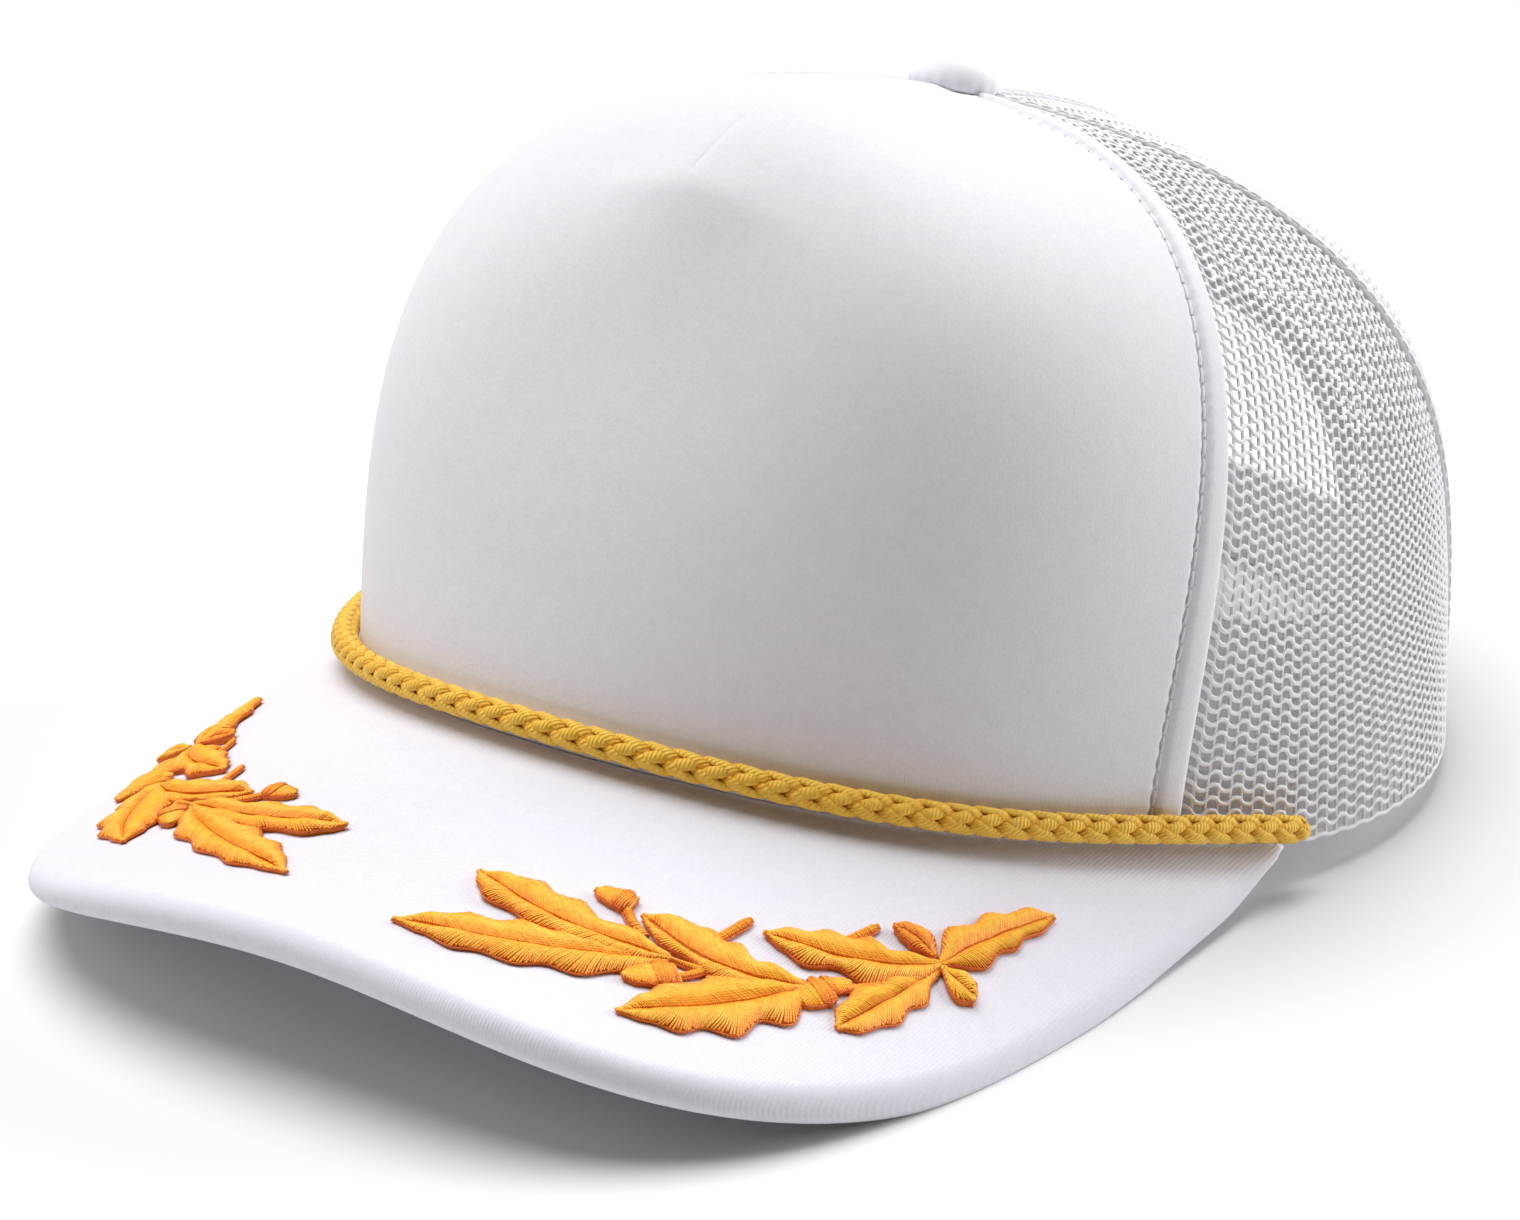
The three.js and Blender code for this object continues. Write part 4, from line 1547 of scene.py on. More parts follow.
@dataclass
class Visor(SubAssembly):
    """The arched board in its cloth, with a thick rounded edge.

    As on the real cap, the wearer's left flank swells a little and the right one is drawn in a little.
    """

    thickness: float = 5.7
    tuck: float = 3.0
    end_angle: float = 71.5
    end_flare: float = 1.4
    flare_start: float = -78.0
    flare_span: float = 45.0
    left_swell: float = 2.1
    right_swell: float = -2.5
    swell_start: float = -170.0
    swell_span: float = 60.0
    swell_end: float = -90.0
    swell_fade: float = 55.0
    end_taper: float = 20.0
    end_share: float = 0.12
    bulge_share: float = 0.4
    stations: int = 240
    reaches: int = 30
    edge_steps: int = 15
    outline_steps: int = 400

    def outline(self) -> Array:
        """The plan outline from one end of the rim to the other, evenly spaced.

        Returns:
            Plan points, the wearer's left end first.
        """
        form = VISOR_FORM
        end = np.array(CROWN.rim_plan(np.array(self.end_angle)))
        length = form.front + form.reach + form.flank_y
        power = 2 / form.squareness
        first = math.asin(((form.flank_y - end[1]) / length) ** (1 / power))
        turn = steps(self.outline_steps, first, math.pi / 2)
        left = np.stack([form.half_width * np.maximum(np.cos(turn), 0) ** power,
                         form.flank_y - length * np.sin(turn) ** power], axis=1)
        left[:, 0] += self.end_flare * smooth_step((left[:, 1] - self.flare_start) / self.flare_span)
        swell = smooth_step((left[:, 1] - self.swell_start) / self.swell_span)
        swell = swell * (1 - smooth_step((left[:, 1] - self.swell_end) / self.swell_fade))
        right = left * [-1, 1]
        left[:, 0] += self.left_swell * swell
        right[:, 0] -= self.right_swell * swell
        left[0], right[0] = end, end * [-1, 1]
        line = np.concatenate([left, right[-2::-1]])
        return evened(line, self.stations)[0]

    def top(self, x: Array, y: Array) -> Array:
        """Height of the upper side; inside the rim it follows the crown's lower edge.

        Args:
            x: Plan x.
            y: Plan y.

        Returns:
            The heights.
        """
        angle = np.degrees(np.arctan2(x, -y))
        depth = CROWN.around("radius", angle) - np.hypot(x, y)
        under = CROWN.point(angle, np.zeros_like(angle), np.maximum(depth, 0))[..., 2]
        return np.where(depth > 0, under, VISOR_FORM.height(x, y)) - CROWN.gap

    def build(self) -> Piece:
        """Makes the board from rings across it, from the rim to the edge and back.

        Returns:
            The dressed piece.
        """
        edge = self.outline()
        angle = np.degrees(np.arctan2(edge[:, 0], -edge[:, 1]))
        root = np.stack(CROWN.rim_plan(angle, self.tuck), axis=1)
        width = np.linalg.norm(edge - root, axis=1)
        out = (edge - root) / width[:, None]
        lengths = np.linalg.norm(np.diff(edge, axis=0), axis=1).mean() * np.arange(len(edge))
        from_end = np.minimum(lengths, lengths[-1] - lengths)
        taper = self.end_share + (1 - self.end_share) * smooth_step(from_end / self.end_taper)
        half = (self.thickness / 2 * taper)[:, None]
        bulge = np.minimum(half[:, 0], width * self.bulge_share)
        flat = width - bulge
        tuck = np.minimum(self.tuck, flat / 2)
        share = steps(self.reaches)
        reach = tuck[:, None] + (flat - tuck)[:, None] * share
        reach = np.concatenate([np.zeros((len(edge), 1)), reach], axis=1)
        turns = np.radians(steps(self.edge_steps, 90, -90)[1:-1])
        round_reach = flat[:, None] + bulge[:, None] * np.cos(turns)
        reaches = np.concatenate([reach, round_reach, reach[:, ::-1]], axis=1)
        down = np.concatenate([np.zeros_like(reach), half - half * np.sin(turns),
                               np.broadcast_to(2 * half, reach.shape)], axis=1)
        x = root[:, :1] + out[:, :1] * reaches
        y = root[:, 1:] + out[:, 1:] * reaches
        rings = np.stack([x, y, self.top(x, y) - down], axis=-1)
        piece = ring_object("visor_board", rings)
        store_vectors(piece, "lay", rings.reshape(-1, 3) * MM)
        self.dress(piece, Slot.FOAM_CLOTH, ("visor",), VISOR_CLOTH)
        return piece


@dataclass
class Rope(SubAssembly):
    """The braided rope in the corner of crown and visor: twelve strands, six wound each way.

    The strands of one way lie on top in broad columns, and those of the other in narrow ones between.
    """

    radius: float = 2.35
    gap: float = 0.1
    end_angle: float = 73.0
    rise: float = 2.9
    strands: int = 6
    columns: int = 3
    lead: float = 27.6
    narrowing: float = 0.35
    strand_half: float = 1.02
    strand_flat: float = 0.62
    under: float = 0.8
    fine_samples: int = 800
    samples: int = 560
    sides: int = 7
    end_round: float = 2.6
    end_least: float = 0.12
    end_girth: float = 0.55
    crossing: float = 2.0
    girth_change: float = 0.14
    # Strands on top take a lighter tone and strands beneath a darker one: painted highlight and painted
    # shade.
    over_under_shade: float = 0.32

    def centre(self, angle: Array) -> Array:
        """The rope's middle line."""
        share = CROWN.share_at_rise(angle, self.rise)
        return CROWN.point(angle, share, -self.radius - self.gap)

    def build(self) -> Piece:
        """Makes the strands as paths that wind round the middle line both ways.

        Returns:
            The dressed piece.
        """
        fine = steps(self.fine_samples, -self.end_angle, self.end_angle)
        middle, even = evened(self.centre(fine), self.samples)
        along = unit(np.gradient(middle, axis=0))
        side = unit(np.cross(along, [0, 0, 1.0]))
        up = np.cross(side, along)
        from_end = np.minimum(even, even[-1] - even)
        swell = np.sqrt(1 - np.clip(1 - from_end / self.end_round, 0, 1) ** 2)
        swell = np.maximum(swell, self.end_least)
        thick = self.strand_half * self.strand_flat
        paths = Paths()
        for way in (1, -1):
            for number in range(self.strands):
                turn = way * 2 * math.pi * (even / self.lead + number / self.strands)
                over = np.tanh(self.crossing * way * (np.sin(self.columns * turn) - self.narrowing))
                radial = (self.radius - thick - self.under * (0.5 - 0.5 * over)) * swell
                outward = side * np.cos(turn)[:, None] + up * np.sin(turn)[:, None]
                girth = self.strand_half * (1 - self.girth_change + self.girth_change * over)
                girth = girth * (self.end_girth + (1 - self.end_girth) * swell)
                # Painted shade where a strand dives under, painted highlight where it lies over.
                tone = 0.5 + self.over_under_shade * over
                paths.add(middle + outward * radial[:, None], outward, girth, tone)
        piece = paths.to_object("braided_rope")
        THREADS.run(piece, ROPE_YARN.material(), Sides=self.sides, Flatness=self.strand_flat)
        return self.dress(piece, Slot.ROPE, ("rope_band",))


@dataclass
class Sweatband(SubAssembly):
    """The folded band inside the rim, seen through the net.

    Its cut is the size that it has once folded double.
    """

    height: float = 35.0
    thickness: float = 1.5
    end_angle: float = 152.0
    tuck_below: float = 4.0
    hem: float = 0.6
    front_end: float = 70.0
    back_start: float = 76.0
    tuck_end: float = 52.0
    tuck_fade: float = 14.0
    stitch_below: float = 4.0
    stitch_inset: float = 1.0
    stitch_proud: float = 0.05
    stitch_samples: int = 400
    cut_width: float = 37.0
    cut_length: float = 486.0
    stations: int = 260
    fold_steps: int = 7
    wall_steps: int = 14

    def depth(self, angle: Array) -> Array:
        """How deep its outer side lies: inside the foam in front, inside the net behind."""
        share = smooth_step((np.abs(angle) - self.front_end) / (self.back_start - self.front_end))
        return CROWN.foam_wall + (CROWN.net_wall - CROWN.foam_wall) * share + CROWN.gap

    def build(self) -> list[Piece]:
        """Makes the band with rounded folds, and its stitches.

        Returns:
            The band and the stitches.
        """
        angle = steps(self.stations, -self.end_angle, self.end_angle)[:, None]
        over_visor = 1 - smooth_step((np.abs(angle) - self.tuck_end) / self.tuck_fade)
        bottom = self.hem + (-self.tuck_below - self.hem) * over_visor
        depth = self.depth(angle)
        fold = self.thickness / 2
        turn = np.radians(steps(self.fold_steps, -90, 90))[None, :]
        fold_in = depth + fold + fold * np.sin(turn)
        top = np.broadcast_to(self.height - fold + fold * np.cos(turn), fold_in.shape)
        foot = bottom + fold - fold * np.cos(turn[:, ::-1])
        wall = bottom + fold + (self.height - fold - bottom - fold) * steps(self.wall_steps)[1:-1]
        outer_in, inner_in = (np.broadcast_to(side, wall.shape) for side in (depth, depth + self.thickness))
        rise = np.concatenate([wall, top, wall[:, ::-1], foot], axis=1)
        inset = np.concatenate([outer_in, fold_in, inner_in, fold_in[:, ::-1]], axis=1)
        rings = CROWN.wall(np.broadcast_to(angle, rise.shape), rise, inset)
        piece = ring_object("sweat_band", rings)
        self.dress(piece, Slot.BAND_CLOTH, ("sweatband",), BAND_TWILL)
        stitches = self.stitches()
        return [piece, stitches]

    def stitches(self) -> Piece:
        """A row of stitches under the band's upper fold.

        Returns:
            The dressed piece.
        """
        last = self.end_angle - self.stitch_inset
        angle = steps(self.stitch_samples, -last, last)
        rise = self.height - self.stitch_below
        depth = self.depth(angle) + self.thickness + self.stitch_proud
        line = CROWN.wall(angle, np.full_like(angle, rise), depth)
        inward = -CROWN.normal(angle, CROWN.share_at_rise(angle, rise))
        return self.sew("band_stitches", Slot.BAND_CLOTH, [(line, inward)], pitch=3.2, length=2.5)


@dataclass
class BackBinding(SubAssembly):
    """The folded tape round the half-moon opening."""

    outer_x: float = 42.0
    outer_z: float = 52.0
    width: float = 5.0
    proud: float = 0.5
    flatness: Pair = (0.45, 0.7)
    stitch_share: float = 0.28
    stitch_turns: Pair = (3.0, 177.0)
    stitch_proud: float = 0.02
    stitch_samples: int = 240
    stations: int = 150
    around: int = 20

    def build(self) -> list[Piece]:
        """Makes the tape with soft edges, and its stitches.

        Returns:
            The tape and the stitches.
        """
        turn = np.radians(steps(self.stations, 0, 180))[:, None]
        around = np.radians(steps(self.around + 1, 0, 360)[:-1])[None, :]
        u, v = (np.sign(wave) * np.abs(wave) ** power
                for wave, power in zip((np.cos(around), np.sin(around)), self.flatness))
        inside = self.width * (0.5 - 0.5 * u)
        x, z = (self.outer_x - inside) * np.cos(turn), (self.outer_z - inside) * np.sin(turn)
        half = (self.proud + CROWN.net_wall) / 2
        depth = np.broadcast_to(half - self.proud - half * v, x.shape)
        piece = ring_object("opening_binding", CROWN.back_point(x, z, depth))
        self.dress(piece, Slot.BAND_CLOTH, ("back_binding",), BAND_TWILL)
        return [piece, self.stitches()]

    def stitches(self) -> Piece:
        """A row of stitches near the tape's outer edge.

        Returns:
            The dressed piece.
        """
        turn = np.radians(steps(self.stitch_samples, *self.stitch_turns))
        reach = self.width * self.stitch_share
        x, z = (self.outer_x - reach) * np.cos(turn), (self.outer_z - reach) * np.sin(turn)
        skin = CROWN.back_point(x, z, 0.0)
        line = CROWN.back_point(x, z, -self.proud - self.stitch_proud)
        lines = [(line, unit(line - skin))]
        return self.sew("binding_stitches", Slot.BAND_CLOTH, lines, pitch=3.0, length=2.3)


@dataclass
class Strap(SubAssembly):
    """The plain strap across the opening, its lower edge on the resting surface."""

    height: float = 18.0
    thickness: float = 1.6
    half_angle: float = 27.3
    half_length: float = 44.0
    corner: float = 0.55
    corner_steps: int = 5
    end_round: float = 3.0
    end_shrink: float = 0.16
    stations: int = 90

    def build(self) -> Piece:
        """Makes the strap with rounded edges, its ends rounded off in height.

        Returns:
            The dressed piece.
        """
        angle = steps(self.stations, 180 - self.half_angle, 180 + self.half_angle)
        depth = CROWN.net_wall + CROWN.gap
        from_end = np.minimum(angle - angle[0], angle[-1] - angle) / self.half_angle
        from_end = from_end * self.half_length
        corners = ((1, 1), (-1, 1), (-1, -1), (1, -1))
        section = []
        for index, (across, up) in enumerate(corners):
            for turn in np.radians(steps(self.corner_steps, 0, 90) + 90 * index):
                section.append((across * (self.thickness / 2 - self.corner) + self.corner * math.cos(turn),
                                up * (self.height / 2 - self.corner) + self.corner * math.sin(turn)))
        section = np.array(section)
        rings = []
        for value, near in zip(angle, from_end):
            fall = max(1 - near / self.end_round, 0)
            shrink = 1 - self.end_shrink * (1 - math.sqrt(1 - fall ** 2))
            inset = depth + self.thickness / 2 - section[:, 0]
            turned = (value + 180) % 360 - 180
            radius = CROWN.around("radius", turned) - inset
            x, y = radius * math.sin(math.radians(value)), -radius * math.cos(math.radians(value))
            z = STAND.surface_height(y) + self.height / 2 + section[:, 1] * shrink
            rings.append(np.stack([x, y, z], axis=-1))
        piece = ring_object("closing_strap", np.array(rings))
        return self.dress(piece, Slot.STRAP, ("snap_strap",), STRAP_PLASTIC)


Lobes = tuple[Pair, ...]


@dataclass(frozen=True)
class Motif:
    """One embroidered form in plan: stalk end, tip, and how far its middle bows to the visor's edge.

    Its lobes are the crests and notches of each outline, as share from the stalk end and half width.
    Without a rib its stitches run from one outline to the other, otherwise from the rib outwards.
    """

    start: Pair
    tip: Pair
    bow: float
    edge_lobes: Lobes
    crown_lobes: Lobes
    layer: int = 0
    tone: float = 0.5
    slant: float = 0.9
    rib: bool = True
    padding: float = 1.0

    def half_width(self, share: Array | float, lateral: Array | float) -> Array:
        """The half width at a share, on the visor edge's side (lateral above 0) or the crown's.

        Args:
            share: From the stalk end to the tip.
            lateral: Which side, by its sign.

        Returns:
            Half widths in millimetres.
        """
        share = np.asarray(share, float)
        sides = []
        for lobes in (self.edge_lobes, self.crown_lobes):
            places, widths = np.array(lobes).T
            first = np.clip(np.searchsorted(places, share, side="right") - 1, 0, len(places) - 2)
            ease = smooth_step((share - places[first]) / (places[first + 1] - places[first]))
            sides.append(widths[first] + (widths[first + 1] - widths[first]) * ease)
        return np.where(np.asarray(lateral) > 0, sides[0], sides[1])


def stem(start: Pair, tip: Pair, bow: float, half: float = 0.55) -> Motif:
    """A narrow satin stem or sprig."""
    lobes = ((0, half), (0.8, half), (1, half * 0.5))
    return Motif(start, tip, bow, lobes, lobes, layer=0, tone=0.3, slant=0.3, rib=False)


CUP_SHARE = 0.42


def acorn(cap: Pair, tip: Pair, half: float) -> tuple[Motif, Motif]:
    """A nut in satin stitch and the darker cap that holds it.

    Args:
        cap: Where the cap's stalk end is, in plan.
        tip: The nut's tip.
        half: The nut's half width.

    Returns:
        The nut, then its cap.
    """
    middle = tuple(start + (end - start) * CUP_SHARE for start, end in zip(cap, tip))
    nut = ((0, half * 0.9), (0.45, half), (0.8, half * 0.75), (1, half * 0.2))
    cup = ((0, half * 0.5), (0.5, half * 1.12), (1, half * 0.95))
    return (Motif(cap, tip, 0.0, nut, nut, layer=1, tone=0.55, slant=0.0, rib=False, padding=0.6),
            Motif(cap, middle, 0.0, cup, cup, layer=2, tone=0.22, slant=0.4, rib=False, padding=0.6))


# The three places where the leaves' stalks meet, from the visor's front backwards.
FRONT_KNOT, MIDDLE_KNOT, REAR_KNOT = (43.6, -138.2), (58.8, -126.0), (68.1, -104.3)

MOTIFS = (
    stem(MIDDLE_KNOT, FRONT_KNOT, 1.5), stem(REAR_KNOT, MIDDLE_KNOT, 1.5),
    stem((45.4, -129.0), (46.2, -121.4), 0.0, 0.7), stem((57.4, -112.6), (58.6, -106.6), 0.0, 0.6),
    stem((38.4, -137.0), (31.6, -132.2), 0.8, 0.75), stem((48.4, -133.6), (46.0, -140.8), 0.4, 0.5),
    Motif(FRONT_KNOT, (10.7, -159.5), 3.6,
          ((0, .5), (.2, 2.7), (.34, 4.4), (.45, 3.1), (.55, 4.2), (.68, 2.9), (.76, 3.5), (.88, 1.6),
           (1, .3)),
          ((0, .9), (.2, 2.4), (.33, 5.0), (.42, 4.6), (.54, 6.5), (.65, 5.1), (.75, 5.9), (.86, 3.9),
           (1, .4))),
    Motif(FRONT_KNOT, (12.4, -141.4), 4.2,
          ((0, .4), (.2, 2.2), (.35, 3.7), (.5, 2.3), (.6, 3.1), (.7, 2.4), (.83, 3.3), (.93, 1.8),
           (1, .3)),
          ((0, 1.0), (.2, 4.4), (.33, 3.9), (.5, 6.4), (.65, 5.2), (.76, 6.0), (.88, 3.6), (1, .4)),
          layer=1),
    Motif(MIDDLE_KNOT, (35.5, -133.6), 4.5,
          ((0, .5), (.2, 1.4), (.45, 2.6), (.64, 1.2), (.8, 2.0), (.92, 1.0), (1, .2)),
          ((0, 1.2), (.17, 3.8), (.26, 3.5), (.38, 6.4), (.53, 5.5), (.67, 6.6), (.79, 5.4), (.88, 4.8),
           (1, .4)),
          layer=1),
    Motif(MIDDLE_KNOT, (45.2, -153.8), 1.8,
          ((0, .6), (.22, 4.6), (.34, 3.0), (.5, 5.2), (.64, 3.2), (.74, 4.0), (.88, 1.9), (1, .3)),
          ((0, 1.0), (.2, 3.4), (.4, 6.0), (.55, 4.9), (.7, 5.6), (.84, 3.3), (1, .3))),
    Motif(REAR_KNOT, (49.0, -122.4), 3.0,
          ((0, .5), (.2, 2.1), (.3, 2.2), (.48, 3.5), (.62, 1.6), (.78, 3.1), (.9, 1.5), (1, .2)),
          ((0, .7), (.18, 2.6), (.27, 2.7), (.37, 5.1), (.5, 4.2), (.65, 5.0), (.79, 3.2), (.87, 3.0),
           (1, .4)),
          layer=1),
    Motif(REAR_KNOT, (65.6, -128.3), 0.5,
          ((0, .5), (.15, .9), (.33, 2.8), (.45, 2.1), (.6, 3.1), (.74, 2.2), (.86, 2.0), (1, .3)),
          ((0, .8), (.25, 1.7), (.4, 2.9), (.48, 2.5), (.66, 3.9), (.78, 3.0), (.88, 2.7), (1, .4))),
    Motif(REAR_KNOT, (73.1, -80.3), -0.3,
          ((0, .4), (.28, 3.0), (.45, 1.8), (.57, 2.3), (.7, 1.2), (.82, 1.4), (1, .2)),
          ((0, .8), (.24, 4.0), (.42, 2.9), (.55, 3.7), (.7, 2.4), (.84, 2.4), (1, .4)), layer=1),
    Motif((67.0, -104.4), (60.2, -105.0), -0.6, ((0, .5), (.5, 1.7), (.8, 1.3), (1, .3)),
          ((0, .6), (.4, 2.8), (.75, 1.9), (1, .3)), layer=2, tone=0.2),
    Motif((68.6, -104.8), (74.4, -104.9), 0.4, ((0, .4), (.7, 2.4), (1, .8)),
          ((0, .5), (.5, 2.9), (.85, 2.6), (1, .8)), layer=2, tone=0.6),
    *acorn((33.4, -132.6), (27.4, -133.7), 2.0), *acorn((46.0, -140.0), (41.4, -147.0), 2.1),
    *acorn((60.9, -123.4), (59.4, -129.6), 2.1), *acorn((60.0, -124.4), (62.2, -119.4), 1.3),
)


@dataclass
class Embroidery(SubAssembly):
    """One spray of raised oak leaves and acorns, sewn in satin stitch over a padded core.

    As on the real cap, the spray on the wearer's right is sewn a little shorter than the other.
    """

    side: Side
    right_squeeze: float = 0.9
    right_middle: float = -128.0
    pitch: float = 0.34
    thread: float = 0.22
    outline_thread: float = 0.2
    layer_step: float = 0.28
    crown_rise: float = 1.15
    base_rise: float = 0.12
    # How much a painted sheen lightens the middle of each run of stitches.
    painted_sheen_share: float = 0.42
    tone_drop: float = 0.1
    tone_spread: float = 0.09
    full_half: float = 3.5
    least_fullness: float = 0.3
    pad_shape: Pair = (2.6, 0.7)
    rib_sink: float = 0.5
    rib_half: float = 0.55
    place_spread: float = 0.18
    reach_spread: float = 0.05
    rib_steps: int = 5
    satin_steps: int = 7
    rib_start: float = 0.02
    stitch_lift: float = 0.12
    lift_spread: float = 0.03
    fine_steps: int = 60
    outline_pitch: float = 0.625
    outline_least: int = 6
    outline_at: float = 1.02
    outline_lift: float = 0.02
    core_grid: tuple[int, int] = (24, 11)
    core_share: Pair = (0.01, 0.99)
    core_lateral: float = 0.97
    core_sink: float = 0.05
    core_deep: float = 0.2
    core_tone: float = 0.12
    sides: int = 5
    flatness: float = 0.9
    crown_centre: Pair = (0.0, -60.0)

    def middle(self, motif: Motif, share: Array) -> tuple[Array, Array, float]:
        """The middle line, the direction across it towards the visor's edge, and its length.

        Args:
            motif: The form.
            share: From the stalk end to the tip.

        Returns:
            Plan points, plan directions, and the length.
        """
        start, tip = np.array(motif.start), np.array(motif.tip)
        along = tip - start
        length = float(np.linalg.norm(along))
        along = along / length
        across = np.array([-along[1], along[0]])
        if across @ (start - np.array(self.crown_centre)) < 0:
            across = -across
        fine = steps(self.fine_steps)
        line = start + (tip - start) * fine[:, None] + across * (motif.bow * 4 * fine * (1 - fine))[:, None]
        slope = unit(np.gradient(line, axis=0))
        normal = np.stack([-slope[:, 1], slope[:, 0]], axis=1)
        normal = normal * np.sign(normal @ across)[:, None]
        spot, aside = (np.stack([np.interp(share, fine, column) for column in part.T], axis=-1)
                       for part in (line, normal))
        return spot, unit(aside), length

    def spot(self, motif: Motif, share: Array, lateral: Array, extra: float) -> Array:
        """Points on the padded form.

        Args:
            motif: The form.
            share: From the stalk end to the tip.
            lateral: From the middle (0) to the visor edge's side (1) or the crown's side (-1).
            extra: Height above the padding.

        Returns:
            Points in the cap's frame.
        """
        centre, across, _ = self.middle(motif, np.clip(share, 0, 1))
        half = motif.half_width(share, lateral)
        plan = centre + across * (lateral * half)[..., None]
        fullness = np.clip(half / self.full_half, self.least_fullness, 1)
        flank, dome = self.pad_shape
        pad = motif.padding * self.crown_rise * fullness
        pad = pad * np.maximum(1 - np.abs(lateral) ** flank, 0) ** dome
        if motif.rib:
            pad = pad * (1 - self.rib_sink * bell(lateral * half, self.rib_half))
        x, y = plan[..., 0] * self.side.value, plan[..., 1]
        if self.side is Side.RIGHT:
            y = self.right_middle + (y - self.right_middle) * self.right_squeeze
        z = VISOR_FORM.height(x, y) + self.base_rise + self.layer_step * motif.layer + pad + extra
        return np.stack([x, y, z], axis=-1)

    def add_threads(self, motif: Motif, paths: Paths, random: np.random.Generator) -> None:
        """Adds the satin stitches of one form, lighter across their middle as a painted sheen, and the fine
        dark outline that holds its edge.

        Args:
            motif: The form.
            paths: The spray's paths.
            random: Seeded numbers.
        """
        length = self.middle(motif, np.array([0.5]))[2]
        count = int(length / self.pitch)
        lean = np.array([0.0, 0.0, 1.0])
        for way in (1, -1) if motif.rib else (0,):
            for number in range(count):
                start = (number + 0.5 + self.place_spread * random.uniform(-1, 1)) / count
                over = 1.0 + self.reach_spread * random.uniform(-1, 1)
                reach = motif.slant * float(motif.half_width(start, way)) / length
                if way:
                    lateral = way * steps(self.rib_steps, self.rib_start, over)
                    share = start - reach / 4 + reach * np.abs(lateral)
                    painted_sheen = np.sin(math.pi * np.minimum(np.abs(lateral), 1))
                else:
                    lateral = steps(self.satin_steps, -over, over)
                    share = start + reach / 2 * lateral
                    painted_sheen = 1 - lateral ** 2
                lift = self.stitch_lift + self.lift_spread * random.uniform(-1, 1)
                points = self.spot(motif, np.clip(share, 0, 1), lateral, lift)
                # Painted sheen: a lighter band across the middle of each run, less a fixed drop.
                tone = motif.tone - self.tone_drop + self.painted_sheen_share * painted_sheen
                paths.add(points, lean, self.thread, tone + self.tone_spread * random.uniform(-1, 1))
        # The outline thread takes the darkest tone: a real outline stitch, its darkness partly painted
        # shade along the form's edge.
        run = steps(int(length / self.outline_pitch) + self.outline_least)
        share = np.concatenate([run, run[::-1]])
        lateral = np.repeat([self.outline_at, -self.outline_at], len(run))
        paths.add(self.spot(motif, share, lateral, self.outline_lift), lean, self.outline_thread, 0.0)

    def core(self, motifs: tuple[Motif, ...]) -> Piece:
        """The padding under the stitches, one closed form for each motif, in a dark tone: painted shade in
        the gaps between stitches.

        Args:
            motifs: The forms.

        Returns:
            The padding, with its finish.
        """
        vertices, faces, start = [], [], 0
        for motif in motifs:
            share, lateral = together(
                steps(self.core_grid[0], *self.core_share)[:, None],
                steps(self.core_grid[1], -self.core_lateral, self.core_lateral)[None, :])
            upper = self.spot(motif, share, lateral, -self.core_sink)
            lower = upper.copy()
            lower[..., 2] = VISOR_FORM.height(lower[..., 0], lower[..., 1]) - self.core_deep
            grid = np.concatenate([upper, lower[:, ::-1]], axis=1)
            faces += ring_faces(*grid.shape[:2], start)
            vertices.append(grid.reshape(-1, 3))
            start += len(vertices[-1])
        piece = make_object(f"embroidery_core_{self.side.word}", np.concatenate(vertices), faces)
        face_outwards(piece)
        store_numbers(piece, "tone", np.full(len(piece.data.vertices), self.core_tone))
        store_numbers(piece, "along", np.zeros(len(piece.data.vertices)))
        piece.data.materials.append(GOLD_THREAD.material())
        return piece

    def build(self) -> Piece:
        """Makes the stitches and joins them with their padding.

        Returns:
            The dressed piece.
        """
        random = np.random.default_rng(SEED)
        paths = Paths()
        for motif in MOTIFS:
            self.add_threads(motif, paths, random)
        piece = paths.to_object(f"oak_leaf_spray_{self.side.word}")
        THREADS.run(piece, GOLD_THREAD.material(), Sides=self.sides, Flatness=self.flatness)
        core = self.core(MOTIFS)
        with bpy.context.temp_override(active_object=piece, selected_editable_objects=[piece, core]):
            bpy.ops.object.join()
        return self.dress(piece, Slot.THREAD, (f"embroidery_{self.side.word}",))


# ---- studio


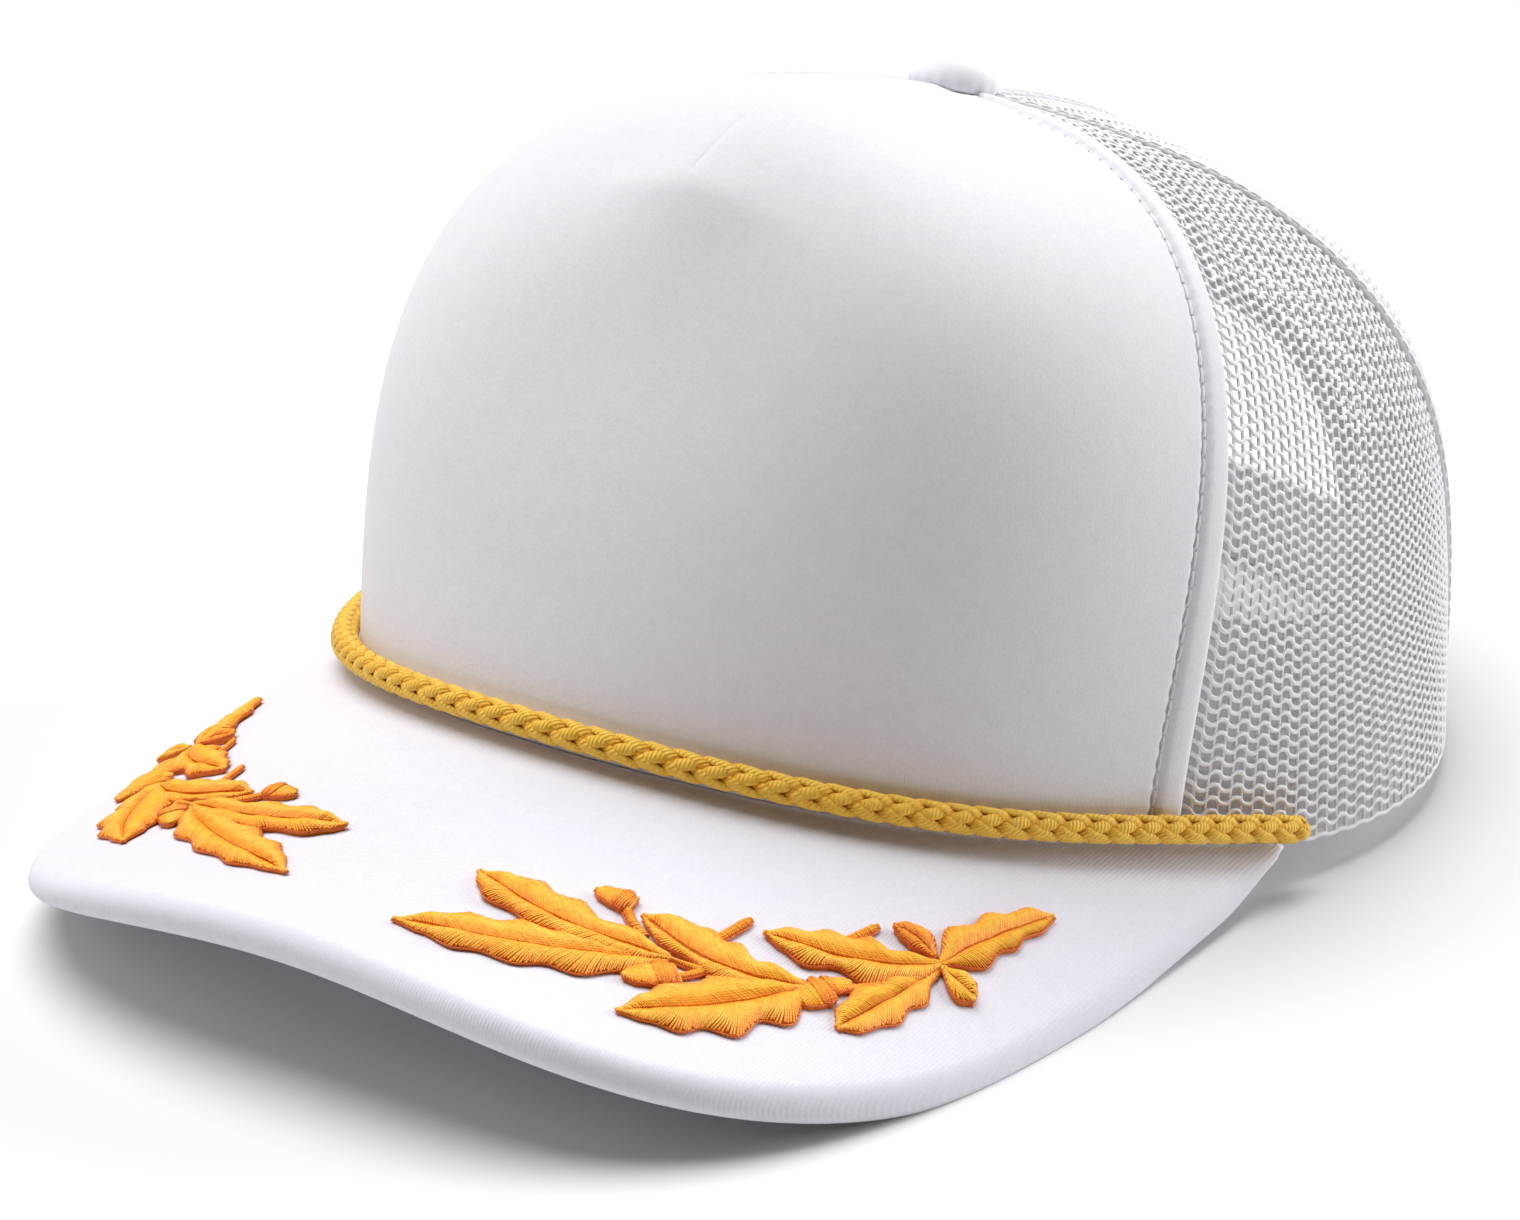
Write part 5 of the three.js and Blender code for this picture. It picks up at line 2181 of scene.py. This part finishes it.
@dataclass
class Studio:
    """The floor, the soft lights and the camera."""

    location: Triple = (0.380988, -0.607863, 0.317153)
    right: Triple = (0.836760939, 0.546980444, 0.025367774)
    up: Triple = (-0.223690876, 0.299177898, 0.927607125)
    back: Triple = (0.499793480, -0.781859949, 0.372694913)
    lens: float = 113.904
    sensor: float = 36.0
    clip: Pair = (0.02, 50.0)
    softboxes: tuple[tuple[str, Triple, float, float], ...] = (
        ("top_softbox", (-0.3, 0.11, 1.0), 3.35, 55.0),
        ("left_softbox", (-1.0, -0.5, 0.6), 0.6, 35.0),
        ("right_softbox", (0.85, 1.15, 0.38), 2.3, 40.0),
    )
    surround_strength: float = 0.05
    floor_half: float = 6.0
    floor_colour: str = "E8E8E8"

    def build(self) -> None:
        """Sets up the camera, the lights, the white surround and the floor."""
        data = bpy.data.cameras.new("camera")
        data.lens, data.sensor_width = self.lens, self.sensor
        data.clip_start, data.clip_end = self.clip
        camera = show("camera", data)
        turn = Matrix((self.right, self.up, self.back)).transposed()
        camera.matrix_world = Matrix.Translation(self.location) @ turn.to_4x4()
        bpy.context.scene.camera = camera
        for softbox in self.softboxes:
            self.light(*softbox)
        self.surround()
        self.floor()
        bpy.context.scene.view_settings.view_transform = "Standard"

    def light(self, name: str, source: Triple, strength: float, spread: float) -> None:
        """Adds one far, broad, soft light.

        Args:
            name: Its name.
            source: The direction that it comes from.
            strength: Its power in watts for each square metre.
            spread: How broad it looks from the cap, in degrees.
        """
        data = bpy.data.lights.new(name, "SUN")
        data.energy, data.angle = strength, math.radians(spread)
        lamp = show(name, data)
        lamp.rotation_euler = Vector(source).to_track_quat("Z", "Y").to_euler()

    def surround(self) -> None:
        """A plain white surround."""
        world = bpy.data.worlds.new("studio")
        world.use_nodes = True
        bpy.context.scene.world = world
        inputs = world.node_tree.nodes["Background"].inputs
        inputs["Color"].default_value = linear("FFFFFF")
        inputs["Strength"].default_value = self.surround_strength

    def floor(self) -> None:
        """A plain pale floor."""
        half = self.floor_half
        mesh = bpy.data.meshes.new("floor")
        mesh.from_pydata([(-half, -half, 0), (half, -half, 0), (half, half, 0), (-half, half, 0)], [],
                         [(0, 1, 2, 3)])
        floor = show("floor", mesh)
        material = bpy.data.materials.new("pale_floor")
        material.use_nodes = True
        shader = material.node_tree.nodes["Principled BSDF"].inputs
        shader["Base Color"].default_value = linear(self.floor_colour)
        shader["Roughness"].default_value = 1.0
        shader["Specular IOR Level"].default_value = 0.0
        mesh.materials.append(material)


THREADS = ThreadRecipe()
STITCHES = StitchRecipe()


def net_panels() -> list[NetPanel]:
    """The four net panels, side and back on both sides.

    Returns:
        The panels, unbuilt.
    """
    panels = []
    for side in Side:
        panels.append(NetPanel(f"mesh_side_{side.word}", FRONT_SEAM, SIDE_SEAM, side))
        panels.append(NetPanel(f"mesh_back_{side.word}", SIDE_SEAM, BACK_SEAM, side, from_start=False,
                               has_opening=True, per_period=7, sides=4))
    return panels


def main() -> None:
    """Builds the cap piece by piece."""
    logging.basicConfig(level=logging.INFO, format="%(name)s: %(message)s")
    Studio().build()
    FoamFront().build()
    for panel in net_panels():
        panel.build()
    SeamWelts().build()
    Button().build()
    Visor().build()
    Rope().build()
    Sweatband().build()
    BackBinding().build()
    Strap().build()
    for side in Side:
        Embroidery(side).build()


if __name__ == "__main__":
    main()
